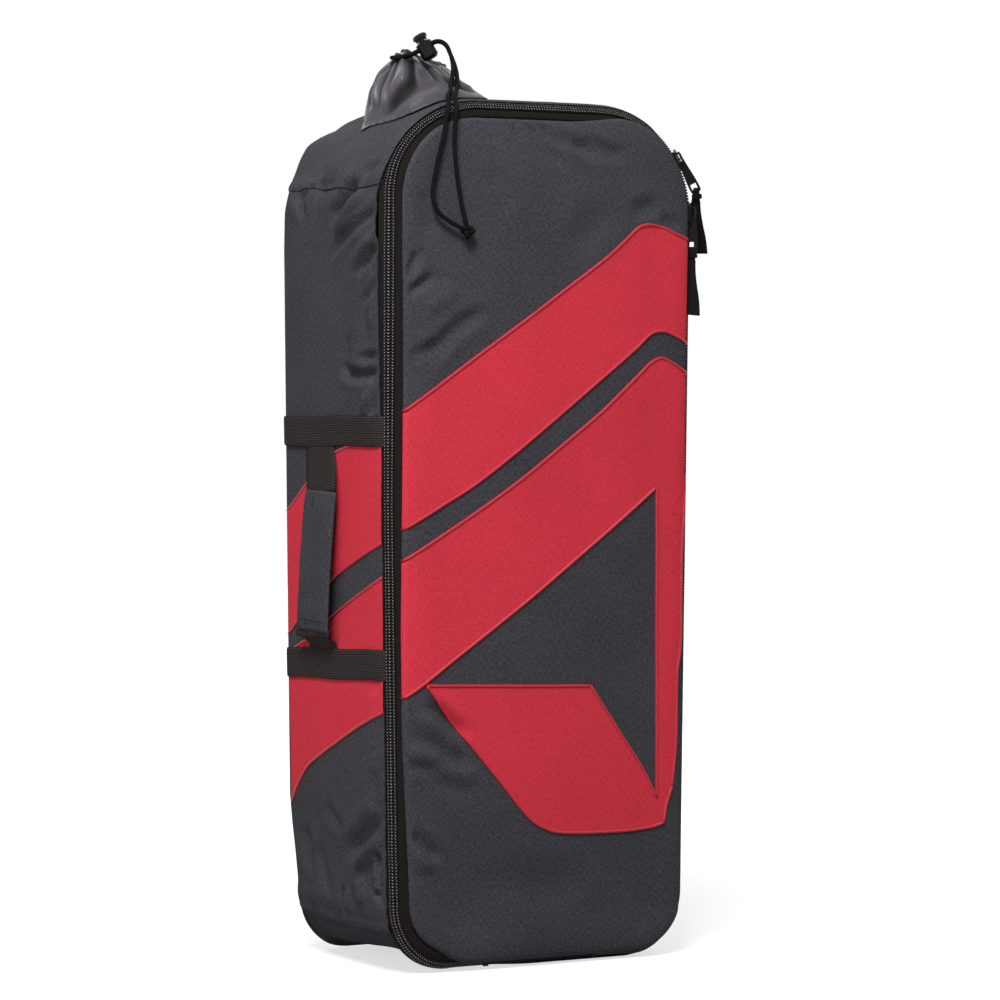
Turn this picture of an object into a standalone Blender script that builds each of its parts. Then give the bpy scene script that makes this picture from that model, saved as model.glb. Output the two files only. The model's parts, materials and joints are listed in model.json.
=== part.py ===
"""Tall zip-round carrying case with a drawstring tube collar, a side grip and shoulder straps.

Metres, +Z up. The zipped cover faces -Y, the straps face +Y, and the base stands on z = 0.
"""
import math

import bmesh
import bpy
from mathutils import Matrix, Vector

# Overall size
HEIGHT = 0.720
TOP_WIDTH = 0.303
BASE_WIDTH = 0.286
DEPTH = 0.184
TOP_CORNER = 0.089
BASE_CORNER = 0.055
FRONT_Y = -DEPTH / 2
BACK_Y = DEPTH / 2

# Cloth and padding
FIT = 0.0003
WALL = 0.006
BACK_SKIN = 0.004
COVER_SKIN = 0.002
FOAM = 0.007
FOAM_FIT = 0.0007
LINING = 0.0012
CROWN = 0.010
RED_CLOTH = 0.0008
ARC_STEP = math.radians(7.5)
GRID_X = 0.036
GRID_Z = 0.045

# Zip along the rounded front edge, seen in section as an arc
EDGE_RADIUS = 0.014
ZIP_RECESS = 0.002
TAPE = 0.001
COIL_RISE = 0.0024
COIL_SHOULDER = 0.0008
COIL_START = math.radians(26)
COIL_STOP = math.radians(41)
TAPE_GAP = math.radians(1.0)
HINGE_GAP = math.radians(0.7)
ZIP_END_X = 0.054
STOP_LENGTH = 0.004
STOP_RISE = 0.0028

# Zip sliders, pulls and tags
SLIDER_LENGTH = 0.017
SLIDER_HALF_WIDTH = 0.0056
SLIDER_CLEARANCE = 0.0006
SLIDER_PLATE = 0.0014
SLIDER_UPPER_ANGLE = math.radians(32.5)
SLIDER_LOWER_RISE = 0.002
PULL_LENGTH = 0.033
PULL_HALF_WIDTH = 0.0042
PULL_THICKNESS = 0.0012
TAG_LENGTH = 0.052
TAG_LEAN = math.radians(24)
RING_RADIUS = 0.0031
RING_WIRE = 0.0007

# Webbing, side grip and side bands
WEBBING = 0.0015
BAND_WIDTH = 0.025
UPPER_BAND_Z = 0.4425
LOWER_BAND_Z = 0.2500
HANDLE_WIDTH = 0.050
HANDLE_TOP_Y = 0.0228
HANDLE_LOW_Y = 0.0204
GRIP_TOP_Y = 0.0135
GRIP_LOW_Y = 0.0200
GRIP_WIDTH = 0.054
GRIP_THICKNESS = 0.005
GRIP_TOP_Z = 0.393
GRIP_LOW_Z = 0.276
GRIP_TOP_OUT = 0.0065
GRIP_LOW_OUT = 0.0125

# Tube collar on the top gusset
COLLAR_X = -0.066
COLLAR_RADIUS = 0.050
COLLAR_HOLE = 0.044
COLLAR_CLOTH = 0.0012
COLLAR_FOLDS = 11
COLLAR_SIDES = 44
THROAT_Y = 0.012
HEM_RADIUS = 0.012
HEM_TUBE = 0.0035
COLLAR_SINK = 0.021

# Draw cord and its lock
CORD_RADIUS = 0.0018
LOCK_CENTRE = Vector((-0.079, -0.028, 0.764))
LOCK_AXIS = Vector((-0.430, 0.254, 0.866)).normalized()
LOCK_EXIT = Vector((0.749, -0.442, 0.500)).normalized()
LOCK_SIDE = LOCK_AXIS.cross(LOCK_EXIT).normalized()
LOCK_RADIUS = 0.0070
LOCK_BORE = 0.0054
PLUNGER_RADIUS = 0.0050
BUTTON_RADIUS = 0.0063
BUTTON_TRAVEL = 0.003
SLOT_HALF_WIDTH = 0.0043
SLOT_HALF_HEIGHT = 0.0022
KNOT_CENTRE = Vector((-0.081, -0.1036, 0.6035))
KNOT_RADIUS = 0.005

# Shoulder straps on the back
STRAP_WIDTH = 0.058
STRAP_THICKNESS = 0.009
STRAP_TOP = Vector((TOP_WIDTH / 2 - 0.0955, BACK_Y + 0.0075, HEIGHT - 0.120))
STRAP_LOW = Vector((BASE_WIDTH / 2 - 0.055, BACK_Y + 0.0160, 0.285))
STRAP_BULGE = 0.012
BUCKLE_WIDTH = 0.034
BUCKLE_HEIGHT = 0.028
BUCKLE_THICKNESS = 0.005
ANCHOR = Vector((BASE_WIDTH / 2 - 0.035, BACK_Y, 0.062))
YOKE_THICKNESS = 0.004
YOKE_SEAM = 0.0009

MATERIALS = {
    "slate_fabric": ((0.052, 0.050, 0.058), 0.85, 0.0),
    "red_fabric": ((0.570, 0.041, 0.061), 0.80, 0.0),
    "black_webbing": ((0.033, 0.026, 0.026), 0.80, 0.0),
    "zip_tape": ((0.021, 0.015, 0.014), 0.85, 0.0),
    "zip_coil": ((0.025, 0.020, 0.019), 0.45, 0.0),
    "collar_nylon": ((0.060, 0.055, 0.066), 0.50, 0.0),
    "black_cord": ((0.012, 0.012, 0.013), 0.80, 0.0),
    "lock_plastic": ((0.012, 0.012, 0.013), 0.40, 0.0),
    "slider_metal": ((0.050, 0.048, 0.050), 0.35, 1.0),
    "spring_steel": ((0.550, 0.550, 0.560), 0.30, 1.0),
    "tag_rubber": ((0.015, 0.015, 0.016), 0.60, 0.0),
    "lining_cloth": ((0.030, 0.030, 0.033), 0.90, 0.0),
    "white_foam": ((0.550, 0.550, 0.540), 0.95, 0.0),
}


def material(node, finish):
    """Give a node its own copy of a finish as a Principled BSDF."""
    colour, roughness, metallic = MATERIALS[finish]
    made = bpy.data.materials.new(f"{node}_{finish}")
    made.use_nodes = True
    shader = made.node_tree.nodes["Principled BSDF"]
    shader.inputs["Base Color"].default_value = (*colour, 1.0)
    shader.inputs["Roughness"].default_value = roughness
    shader.inputs["Metallic"].default_value = metallic
    return made


def add_node(name, bm, finish, origin=(0.0, 0.0, 0.0), parent=None):
    """Turn a bmesh in world coordinates into a named object with its origin at a joint."""
    bmesh.ops.recalc_face_normals(bm, faces=bm.faces)
    bmesh.ops.translate(bm, verts=bm.verts, vec=-Vector(origin))
    mesh = bpy.data.meshes.new(name)
    bm.to_mesh(mesh)
    bm.free()
    mesh.materials.append(material(name, finish))
    made = bpy.data.objects.new(name, mesh)
    made.location = origin
    bpy.context.scene.collection.objects.link(made)
    if parent:
        made.parent = parent
        made.location = Vector(origin) - parent.location
    return made


def add_empty(name, place):
    """Mark a moving group's joint."""
    made = bpy.data.objects.new(name, None)
    made.location = place
    bpy.context.scene.collection.objects.link(made)
    return made


def boolean(bm, other, operation):
    """Join or cut two closed bmeshes with the exact solver and return the result."""
    holders = []
    for part in (bm, other):
        mesh = bpy.data.meshes.new("operand")
        bmesh.ops.recalc_face_normals(part, faces=part.faces)
        part.to_mesh(mesh)
        part.free()
        holder = bpy.data.objects.new("operand", mesh)
        bpy.context.scene.collection.objects.link(holder)
        holders.append(holder)
    step = holders[0].modifiers.new("step", "BOOLEAN")
    step.operation = operation
    step.solver = "EXACT"
    step.object = holders[1]
    bpy.context.view_layer.update()
    shaped = holders[0].evaluated_get(bpy.context.evaluated_depsgraph_get())
    result = bmesh.new()
    result.from_mesh(shaped.to_mesh())
    shaped.to_mesh_clear()
    for holder in holders:
        mesh = holder.data
        bpy.data.objects.remove(holder, do_unlink=True)
        bpy.data.meshes.remove(mesh)
    return result


def loft(rings, closed=False):
    """Skin a list of equal point rings; open lofts get flat end caps."""
    bm = bmesh.new()
    rows = [[bm.verts.new(point) for point in ring] for ring in rings]
    pairs = list(zip(rows, rows[1:]))
    if closed:
        pairs.append((rows[-1], rows[0]))
    for low, high in pairs:
        for i in range(len(low)):
            j = (i + 1) % len(low)
            bm.faces.new((low[i], low[j], high[j], high[i]))
    if not closed:
        bm.faces.new(rows[0][::-1])
        bm.faces.new(rows[-1])
    return bm


def prism(points, low, high, place=Matrix()):
    """Extrude an (x, y) outline between two z levels of a local frame."""
    return loft([[place @ Vector((x, y, z)) for x, y in points] for z in (low, high)])


def block(low, high, place=Matrix()):
    """Box between two corners of a local frame."""
    outline = [(low[0], low[1]), (high[0], low[1]), (high[0], high[1]), (low[0], high[1])]
    return prism(outline, low[2], high[2], place)


def tube(points, radius, sides=6):
    """Round solid along a smooth curve through the points."""
    path = smooth(points)
    rings = []
    side = None
    for i, point in enumerate(path):
        ahead = path[min(i + 1, len(path) - 1)]
        behind = path[max(i - 1, 0)]
        along = (ahead - behind).normalized()
        if side is None:
            side = along.orthogonal()
        side = (side - along * side.dot(along)).normalized()
        other = along.cross(side)
        turns = [2 * math.pi * k / sides for k in range(sides)]
        rings.append([point + radius * (side * math.cos(a) + other * math.sin(a)) for a in turns])
    return loft(rings)


def smooth(points, steps=2):
    """Catmull-Rom curve through a list of points."""
    points = [Vector(point) for point in points]
    path = []
    for i in range(len(points) - 1):
        p0 = points[max(i - 1, 0)]
        p1, p2 = points[i], points[i + 1]
        p3 = points[min(i + 2, len(points) - 1)]
        for k in range(steps):
            t = k / steps
            path.append(0.5 * (2 * p1 + (p2 - p0) * t + (2 * p0 - 5 * p1 + 4 * p2 - p3) * t ** 2
                               + (3 * p1 - p0 - 3 * p2 + p3) * t ** 3))
    path.append(points[-1])
    return path


# Outline of the bag seen from the front: stations (x, z, angle of the outward normal)

def side_angle():
    """Slant of the right side's normal; the sides touch a top and a base corner circle."""
    across = (TOP_WIDTH / 2 - TOP_CORNER) - (BASE_WIDTH / 2 - BASE_CORNER)
    up = HEIGHT - TOP_CORNER - BASE_CORNER
    return math.atan2(up, across) - math.acos((BASE_CORNER - TOP_CORNER) / math.hypot(across, up))


def corner(x, z, radius, start, stop):
    """Stations round one corner circle."""
    steps = math.ceil((stop - start) / ARC_STEP - 0.01)
    angles = [start + (stop - start) * k / steps for k in range(steps + 1)]
    return [(x + radius * math.cos(a), z + radius * math.sin(a), a) for a in angles]


SLANT = side_angle()
TOP_X = TOP_WIDTH / 2 - TOP_CORNER
TOP_Z = HEIGHT - TOP_CORNER
BASE_X = BASE_WIDTH / 2 - BASE_CORNER
QUARTER = math.pi / 2
BASE_RIGHT = corner(BASE_X, BASE_CORNER, BASE_CORNER, -QUARTER, SLANT)
TOP_RIGHT = corner(TOP_X, TOP_Z, TOP_CORNER, SLANT, QUARTER)
TOP_LEFT = corner(-TOP_X, TOP_Z, TOP_CORNER, QUARTER, math.pi - SLANT)
BASE_LEFT = corner(-BASE_X, BASE_CORNER, BASE_CORNER, math.pi - SLANT, 3 * QUARTER)
RING = BASE_RIGHT + TOP_RIGHT + TOP_LEFT + BASE_LEFT


def offset(station, out):
    """Point (x, z) moved out along a station's normal."""
    x, z, angle = station
    return x + out * math.cos(angle), z + out * math.sin(angle)


def trim(stations, gap=FIT):
    """Pull both ends of a run back along it, so that neighbours stay clear."""
    ends = []
    for end, inner in ((stations[0], stations[1]), (stations[-1], stations[-2])):
        run = Vector((inner[0] - end[0], inner[1] - end[1])).normalized() * gap
        ends.append((end[0] + run.x, end[1] + run.y, end[2]))
    return [ends[0], *stations[1:-1], ends[1]]


def sweep(stations, profile):
    """Carry an (out, y) profile along a run of the outline."""
    rings = []
    for station in stations:
        ring = []
        for out, y in profile:
            x, z = offset(station, out)
            ring.append((x, y, z))
        rings.append(ring)
    return loft(rings)


def ring_plate(levels):
    """Plate over the whole outline, given as (inset, y) levels from one face to the other."""
    return loft([[(p[0], y, p[1]) for p in (offset(s, -inset) for s in RING)] for inset, y in levels])


def top_z(x):
    """Height of the top gusset's outer face over a place across the bag."""
    reach = max(0.0, abs(x) - TOP_X)
    return TOP_Z + math.sqrt(TOP_CORNER ** 2 - reach ** 2)


def side_x(z):
    """Half width of the bag at a height on its straight sides."""
    low, high = BASE_RIGHT[-1], TOP_RIGHT[0]
    return low[0] + (high[0] - low[0]) * (z - low[1]) / (high[1] - low[1])


# Shell of the bag

def shell():
    """Gussets, sides and the layered back."""
    rim_y = FRONT_Y + EDGE_RADIUS + ZIP_RECESS + FIT
    back_rim_y = BACK_Y - BACK_SKIN - FIT
    wall = [(0.0, rim_y), (0.0, back_rim_y), (-WALL, back_rim_y), (-WALL, rim_y)]
    add_node("right_side_panel", sweep(trim([BASE_RIGHT[-1], TOP_RIGHT[0]]), wall), "slate_fabric")
    add_node("left_side_panel", sweep(trim([TOP_LEFT[-1], BASE_LEFT[0]]), wall), "slate_fabric")
    add_node("base_gusset", sweep(BASE_LEFT + BASE_RIGHT, wall), "slate_fabric")
    turns = [2 * math.pi * k / COLLAR_SIDES for k in range(COLLAR_SIDES)]
    hole = [(COLLAR_X + COLLAR_HOLE * math.cos(a), COLLAR_HOLE * math.sin(a)) for a in turns]
    arch = sweep(TOP_RIGHT + TOP_LEFT, wall)
    arch = boolean(arch, prism(hole, TOP_Z, HEIGHT + WALL), "DIFFERENCE")
    add_node("top_gusset", arch, "slate_fabric")

    chamfer = BACK_SKIN * 0.75
    levels = [(0.0, BACK_Y - BACK_SKIN), (0.0, BACK_Y - chamfer), (chamfer, BACK_Y)]
    add_node("back_panel", ring_plate(levels), "slate_fabric")
    inset = WALL + FIT
    foam_y = back_rim_y - FOAM
    add_node("back_foam", ring_plate([(inset, foam_y), (inset, back_rim_y)]), "white_foam")
    lining_y = foam_y - FIT - LINING
    lining = ring_plate([(inset, lining_y), (inset, foam_y - FIT)])
    add_node("back_lining", lining, "lining_cloth")
    reach = BASE_X + BASE_CORNER / 2
    for name, z in (("inner_strap_upper", UPPER_BAND_Z), ("inner_strap_lower", LOWER_BAND_Z)):
        low = (-reach, lining_y - FIT - WEBBING, z - BAND_WIDTH / 2)
        high = (reach, lining_y - FIT, z + BAND_WIDTH / 2)
        add_node(name, block(low, high), "black_webbing")


# Zip round the front edge

ZIP_CENTRE = EDGE_RADIUS + ZIP_RECESS
MIDWAY = math.radians(45)


def on_arc(radius, angle):
    """(out, y) point of the rounded edge's section; angle runs from the side to the front."""
    return -ZIP_CENTRE + radius * math.cos(angle), FRONT_Y + ZIP_CENTRE - radius * math.sin(angle)


def tape_profile(start, stop, steps=4):
    """Section of a strip of tape between two angles of the edge."""
    angles = [start + (stop - start) * k / steps for k in range(steps + 1)]
    outer = [on_arc(EDGE_RADIUS, a) for a in angles]
    inner = [on_arc(EDGE_RADIUS - TAPE, a) for a in reversed(angles)]
    return outer + inner


def coil_profile(start, stop, rise=COIL_RISE):
    """Section of one half of the zip chain: a low hump on its own strip of tape."""
    steps = 4
    outer = []
    for k in range(steps + 1):
        bulge = math.sin(math.pi * k / steps)
        radius = EDGE_RADIUS + COIL_SHOULDER + (rise - COIL_SHOULDER) * bulge
        outer.append(on_arc(radius, start + (stop - start) * k / steps))
    inner = [on_arc(EDGE_RADIUS - TAPE, stop), on_arc(EDGE_RADIUS - TAPE, start)]
    return outer + inner


BASE_RUN_RIGHT = (ZIP_END_X, 0.0, -QUARTER)
BASE_RUN_LEFT = (-ZIP_END_X, 0.0, 3 * QUARTER)
ZIP_RUN = [BASE_RUN_RIGHT] + RING + [BASE_RUN_LEFT]
SLIDER_ROOM = SLIDER_LENGTH / 2 + 2 * SLIDER_CLEARANCE
LOWER_SLIDER_Z = TOP_RIGHT[0][1] + SLIDER_LOWER_RISE


def slider_gap():
    """Run of the right side below the sliders, and of the rest beyond them."""
    below_z = LOWER_SLIDER_Z - SLIDER_ROOM
    below = [BASE_RUN_RIGHT] + BASE_RIGHT + [(side_x(below_z), below_z, SLANT)]
    start = SLIDER_UPPER_ANGLE + SLIDER_ROOM / (TOP_CORNER - ZIP_CENTRE)
    beyond = corner(TOP_X, TOP_Z, TOP_CORNER, start, QUARTER)
    return below, beyond + TOP_LEFT + BASE_LEFT + [BASE_RUN_LEFT]


def zip_fastener(cover):
    """Tapes, half chains, end stops and the cloth hinge under the cover."""
    mirror = 2 * MIDWAY
    body_tape = tape_profile(0.0, COIL_START - TAPE_GAP)
    cover_tape = tape_profile(mirror - COIL_START + TAPE_GAP, mirror)
    add_node("body_zip_tape", sweep(ZIP_RUN, body_tape), "zip_tape")
    add_node("cover_zip_tape", sweep(ZIP_RUN, cover_tape), "zip_tape", cover.location, cover)
    add_node("body_zip_chain", sweep(ZIP_RUN, coil_profile(COIL_START, COIL_STOP)), "zip_coil")
    cover_coil = coil_profile(mirror - COIL_STOP, mirror - COIL_START)
    below, beyond = slider_gap()
    for name, run in (("cover_zip_chain_right", below), ("cover_zip_chain_left", beyond)):
        add_node(name, sweep(run, cover_coil), "zip_coil", cover.location, cover)
    stop = coil_profile(COIL_START, MIDWAY - HINGE_GAP, STOP_RISE)
    for name, end in (("zip_stop_right", 1), ("zip_stop_left", -1)):
        turn = -QUARTER if end > 0 else 3 * QUARTER
        run = [(end * (ZIP_END_X - FIT), 0.0, turn), (end * (ZIP_END_X - STOP_LENGTH), 0.0, turn)]
        add_node(name, sweep(run, stop), "slider_metal")
    half = ZIP_END_X - STOP_LENGTH - FIT
    run = [(-half, 0.0, -QUARTER), (half, 0.0, -QUARTER)]
    add_node("hinge_strip", sweep(run, tape_profile(0.0, MIDWAY - HINGE_GAP)), "zip_tape")
    leaf = tape_profile(MIDWAY + HINGE_GAP, mirror)
    add_node("cover_hinge_leaf", sweep(run, leaf), "zip_tape", cover.location, cover)


# Zipped cover

COVER_INSET = ZIP_CENTRE + FIT
COVER_HALF = TOP_WIDTH / 2 - COVER_INSET
COVER_RISE = HEIGHT / 2 - COVER_INSET


def crown(x, z):
    """How far the padded cover swells in front of its edge."""
    across = min(1.0, abs(x) / COVER_HALF)
    along = min(1.0, abs(z - HEIGHT / 2) / COVER_RISE)
    return CROWN * (1 - across ** 2) * (1 - along ** 4)


def grid_cut(outline):
    """Face over an (x, z) outline, cut on the cover's common grid."""
    bm = bmesh.new()
    bm.faces.new([bm.verts.new((x, 0.0, z)) for x, z in outline])
    columns = int(TOP_WIDTH / 2 / GRID_X)
    rows = int(HEIGHT / GRID_Z)
    cuts = [((k * GRID_X, 0, 0), (1, 0, 0)) for k in range(-columns, columns + 1)]
    cuts += [((0, 0, k * GRID_Z), (0, 0, 1)) for k in range(rows + 1)]
    for place, normal in cuts:
        everything = bm.verts[:] + bm.edges[:] + bm.faces[:]
        bmesh.ops.bisect_plane(bm, geom=everything, plane_co=place, plane_no=normal, dist=1e-5)
    return bm


def crowned_sheet(outline, behind, thickness, flat_back=None):
    """Closed sheet a given distance behind the crown, or filling in to a flat back."""
    bm = grid_cut(outline)
    front = bm.verts[:]
    faces = bm.faces[:]
    rim = [edge for edge in bm.edges if edge.is_boundary]
    twin = {}
    for vert in front:
        x, _, z = vert.co
        vert.co.y = FRONT_Y - crown(x, z) + behind
        y = vert.co.y + thickness if flat_back is None else flat_back
        twin[vert] = bm.verts.new((x, y, z))
    for face in faces:
        bm.faces.new([twin[v] for v in reversed(face.verts)])
    for edge in rim:
        a, b = edge.verts
        bm.faces.new((a, b, twin[b], twin[a]))
    return bm


RED_INSET = COVER_INSET + 0.0015


def edge_point(z, side):
    """Point of the red cloth's outer edge on the cover's straight sides."""
    return side * (side_x(z) - RED_INSET), z


RED_SHAPES = {
    "cover_red_band_upper": [
        edge_point(0.459, -1), (0.050, 0.585), (0.080, 0.609), (0.095, 0.618), (0.115, 0.617),
        edge_point(0.608, 1), edge_point(0.520, 1), (0.113, 0.529), (0.100, 0.526), (0.085, 0.514),
        (-0.064, 0.403), edge_point(0.361, -1)],
    "cover_red_band_lower": [
        edge_point(0.333, -1), (-0.028, 0.403), (0.047, 0.458), (0.100, 0.502), (0.111, 0.506),
        (0.123, 0.503), edge_point(0.492, 1), edge_point(0.268, 1), (0.129, 0.238), (0.128, 0.181),
        (0.123, 0.145), (0.1085, 0.137), (0.107, 0.397), (-0.115, 0.237), edge_point(0.228, -1)],
    "cover_red_block": [
        (-0.113, 0.233), (0.039, 0.230), (0.093, 0.159), (0.108, 0.1355), (0.122, 0.1435),
        (0.117, 0.127), (0.115, 0.114), (0.066, 0.109), (0.013, 0.110), (-0.011, 0.117),
        (-0.026, 0.129), (-0.064, 0.174)],
}


def cover_panels(cover):
    """Outer cloth, foam, lining and red colour blocks of the cover."""
    place = cover.location
    outline = [offset(station, -COVER_INSET) for station in RING]
    panel = crowned_sheet(outline, 0.0, COVER_SKIN)
    add_node("cover_panel", panel, "slate_fabric", place, cover)
    foam_back = FRONT_Y + COVER_SKIN + FOAM
    foam_outline = [offset(station, -COVER_INSET - COVER_SKIN) for station in RING]
    foam = crowned_sheet(foam_outline, COVER_SKIN + FOAM_FIT, 0.0, foam_back)
    add_node("cover_foam", foam, "white_foam", place, cover)
    levels = [(COVER_INSET, foam_back + FIT), (COVER_INSET, foam_back + FIT + LINING)]
    add_node("cover_lining", ring_plate(levels), "lining_cloth", place, cover)
    for name, shape in RED_SHAPES.items():
        red = crowned_sheet(shape, -FIT - RED_CLOTH, RED_CLOTH)
        add_node(name, red, "red_fabric", place, cover)


# Zip sliders

def zip_frame(x, z, angle):
    """Axes on the zip: +X to the bag's body, +Y along the run, +Z out of it."""
    normal = Vector((math.cos(angle), 0.0, math.sin(angle)))
    along = Vector((-math.sin(angle), 0.0, math.cos(angle)))
    deep = Vector((0.0, 1.0, 0.0))
    out, y = on_arc(EDGE_RADIUS, MIDWAY)
    axes = ((normal + deep).normalized(), along, (normal - deep).normalized())
    place = Matrix.Identity(4)
    for column, axis in enumerate(axes):
        for row in range(3):
            place[row][column] = axis[row]
    place.translation = Vector((x, y, z)) + normal * out
    return place


PLATE_LOW = COIL_RISE + SLIDER_CLEARANCE
PLATE_TOP = PLATE_LOW + SLIDER_PLATE
BRIDGE_ROOM = 0.0019
PIVOT_RISE = PLATE_TOP + FIT + PULL_THICKNESS / 2
BAR_HALF = 0.0006
END_BAR = 0.0016


def slider(place, nose):
    """Slider body: lipped top plate, neck in the zip's slit, under plate and pull bridge."""
    half = SLIDER_LENGTH / 2
    wide = SLIDER_HALF_WIDTH
    lip = 0.0006
    section = [(-wide, PLATE_LOW - lip), (-wide + lip, PLATE_LOW - lip), (-wide + lip, PLATE_LOW),
               (wide - lip, PLATE_LOW), (wide - lip, PLATE_LOW - lip), (wide, PLATE_LOW - lip),
               (wide, PLATE_TOP - lip), (wide - lip, PLATE_TOP), (lip - wide, PLATE_TOP),
               (-wide, PLATE_TOP - lip)]
    stations = ((-half, 0.90), (-half * 0.7, 1.0), (half * 0.7, 1.0), (half, 0.90))
    body = loft([[place @ Vector((w * k, t, h)) for w, h in section] for t, k in stations])
    under_top = -0.0028
    under_low = under_top - SLIDER_PLATE
    neck = sorted((nose * half * 0.42, nose * half * 0.94))
    body = boolean(body, block((-0.0004, neck[0], under_low + lip), (0.0004, neck[1], PLATE_TOP - lip),
                               place), "UNION")
    body = boolean(body, block((-0.0048, -half * 0.94, under_low), (0.0048, half * 0.94, under_top),
                               place), "UNION")
    leg, span, bar = 0.0060, 0.0044, 0.0015
    under = PLATE_TOP + BRIDGE_ROOM
    arch = [(-leg, PLATE_TOP - lip), (-leg, under + lip), (-span, under + bar), (span, under + bar),
            (leg, under + lip), (leg, PLATE_TOP - lip), (span, PLATE_TOP - lip), (span, under),
            (-span, under), (-span, PLATE_TOP - lip)]
    bridge = loft([[place @ Vector((w, t, h)) for t, h in arch] for w in (-0.0014, 0.0014)])
    return boolean(body, bridge, "UNION")


def pull(place):
    """Flat pull: a frame round the bridge's leg, a tapering tab and a slot for the tag's ring."""
    wide = PULL_HALF_WIDTH
    slim = wide * 0.8
    low = PIVOT_RISE - PULL_THICKNESS / 2
    high = PIVOT_RISE + PULL_THICKNESS / 2
    outline = [(-wide, BAR_HALF), (-wide, -0.0090), (-slim, -0.0130), (-slim, 0.0015 - PULL_LENGTH),
               (0.0015 - slim, -PULL_LENGTH), (slim - 0.0015, -PULL_LENGTH),
               (slim, 0.0015 - PULL_LENGTH), (slim, -0.0130), (wide, -0.0090), (wide, BAR_HALF)]
    tab = prism(outline, low, high, place)
    deep = PULL_THICKNESS
    window = block((-0.0021, -0.0076, low - deep), (0.0021, -BAR_HALF, high + deep), place)
    tab = boolean(tab, window, "DIFFERENCE")
    slot = block((-0.0019, -PULL_LENGTH + 0.0075, low - deep), (0.0019, END_BAR - PULL_LENGTH,
                                                               high + deep), place)
    return boolean(tab, slot, "DIFFERENCE")


def tag(place):
    """Moulded tag that widens to its end, on a small ring through the pull's slot."""
    sides, wires = 14, 6
    drop = END_BAR / 2 + 0.0004 - (RING_RADIUS - RING_WIRE)
    rings = []
    for k in range(sides):
        a = 2 * math.pi * k / sides
        ring = []
        for j in range(wires):
            b = 2 * math.pi * j / wires
            reach = RING_RADIUS + RING_WIRE * math.cos(b)
            local = Vector((RING_WIRE * math.sin(b), drop + reach * math.cos(a), reach * math.sin(a)))
            ring.append(place @ local)
        rings.append(ring)
    hoop = loft(rings, closed=True)
    top = drop - RING_RADIUS + 0.0003
    sections = ((0.0, 0.0030, 0.0011), (0.004, 0.0036, 0.0016), (0.022, 0.0036, 0.0016),
                (0.044, 0.0052, 0.0016), (TAG_LENGTH - 0.002, 0.0054, 0.0016), (TAG_LENGTH, 0.0046, 0.0011))
    strip = []
    for down, wide, thick in sections:
        bevel = thick * 0.5
        outline = [(-wide, -thick + bevel), (-wide + bevel, -thick), (wide - bevel, -thick),
                   (wide, -thick + bevel), (wide, thick - bevel), (wide - bevel, thick),
                   (bevel - wide, thick), (-wide, thick - bevel)]
        strip.append([place @ Vector((w, top - down, h)) for w, h in outline])
    return boolean(hoop, loft(strip), "UNION")


def sliders():
    """Two sliders that meet near the top right corner, each with a pull and a tag."""
    corner_place = (TOP_X + TOP_CORNER * math.cos(SLIDER_UPPER_ANGLE),
                    TOP_Z + TOP_CORNER * math.sin(SLIDER_UPPER_ANGLE), SLIDER_UPPER_ANGLE)
    side_place = (side_x(LOWER_SLIDER_Z), LOWER_SLIDER_Z, SLANT)
    for name, station, nose, lean in (("slider_upper", corner_place, -1, TAG_LEAN),
                                      ("slider_lower", side_place, 1, 0.0)):
        place = zip_frame(*station)
        pivot = place @ Matrix.Translation((0.0, 0.0, PIVOT_RISE))
        end = pivot @ Matrix.Translation((0.0, END_BAR / 2 - PULL_LENGTH, 0.0))
        travel = place.translation
        if name == "slider_upper":
            travel = Vector((TOP_X, place.translation.y, TOP_Z))
        add_node(name, slider(place, nose), "slider_metal", travel)
        add_node(f"{name}_pull", pull(place), "slider_metal", pivot.translation)
        hung = end @ Matrix.Rotation(lean, 4, "X")
        add_node(f"{name}_tag", tag(hung), "tag_rubber", end.translation)


# Left side: bands, red cloth and grip

def side_frame():
    """Axes on the left side: +X back along the bag, +Y up the slanted side, +Z out of it."""
    low, high = BASE_LEFT[0], TOP_LEFT[-1]
    up = Vector((high[0] - low[0], 0.0, high[1] - low[1])).normalized()
    back = Vector((0.0, 1.0, 0.0))
    out = up.cross(back)
    place = Matrix.Identity(4)
    for column, axis in enumerate((back, up, out)):
        for row in range(3):
            place[row][column] = axis[row]
    place.translation = Vector((low[0], 0.0, low[1])) - up * (low[1] / up.z)
    return place


SIDE_FRONT = FRONT_Y + ZIP_CENTRE + FIT
SIDE_BACK = BACK_Y - BACK_SKIN - FIT
SIDE_RED = {
    "side_red_band_upper": [
        (SIDE_FRONT, 0.4285), (-0.0227, 0.4285), (-0.0023, 0.424), (0.0469, 0.4009), (SIDE_BACK, 0.377),
        (SIDE_BACK, 0.272), (0.0798, 0.277), (0.0541, 0.2943), (-0.0064, 0.3237), (-0.0443, 0.3382),
        (SIDE_FRONT, 0.3497)],
    "side_red_band_lower": [
        (SIDE_FRONT, 0.3216), (-0.0057, 0.2928), (0.0534, 0.2681), (SIDE_BACK, 0.2555), (SIDE_BACK, 0.127),
        (0.080, 0.1356), (0.0512, 0.1615), (-0.0003, 0.1835), (SIDE_FRONT, 0.2131)],
}
RED_TOP = FIT + RED_CLOTH
BAND_LOW = RED_TOP + FIT
BAND_TOP = BAND_LOW + WEBBING


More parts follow.
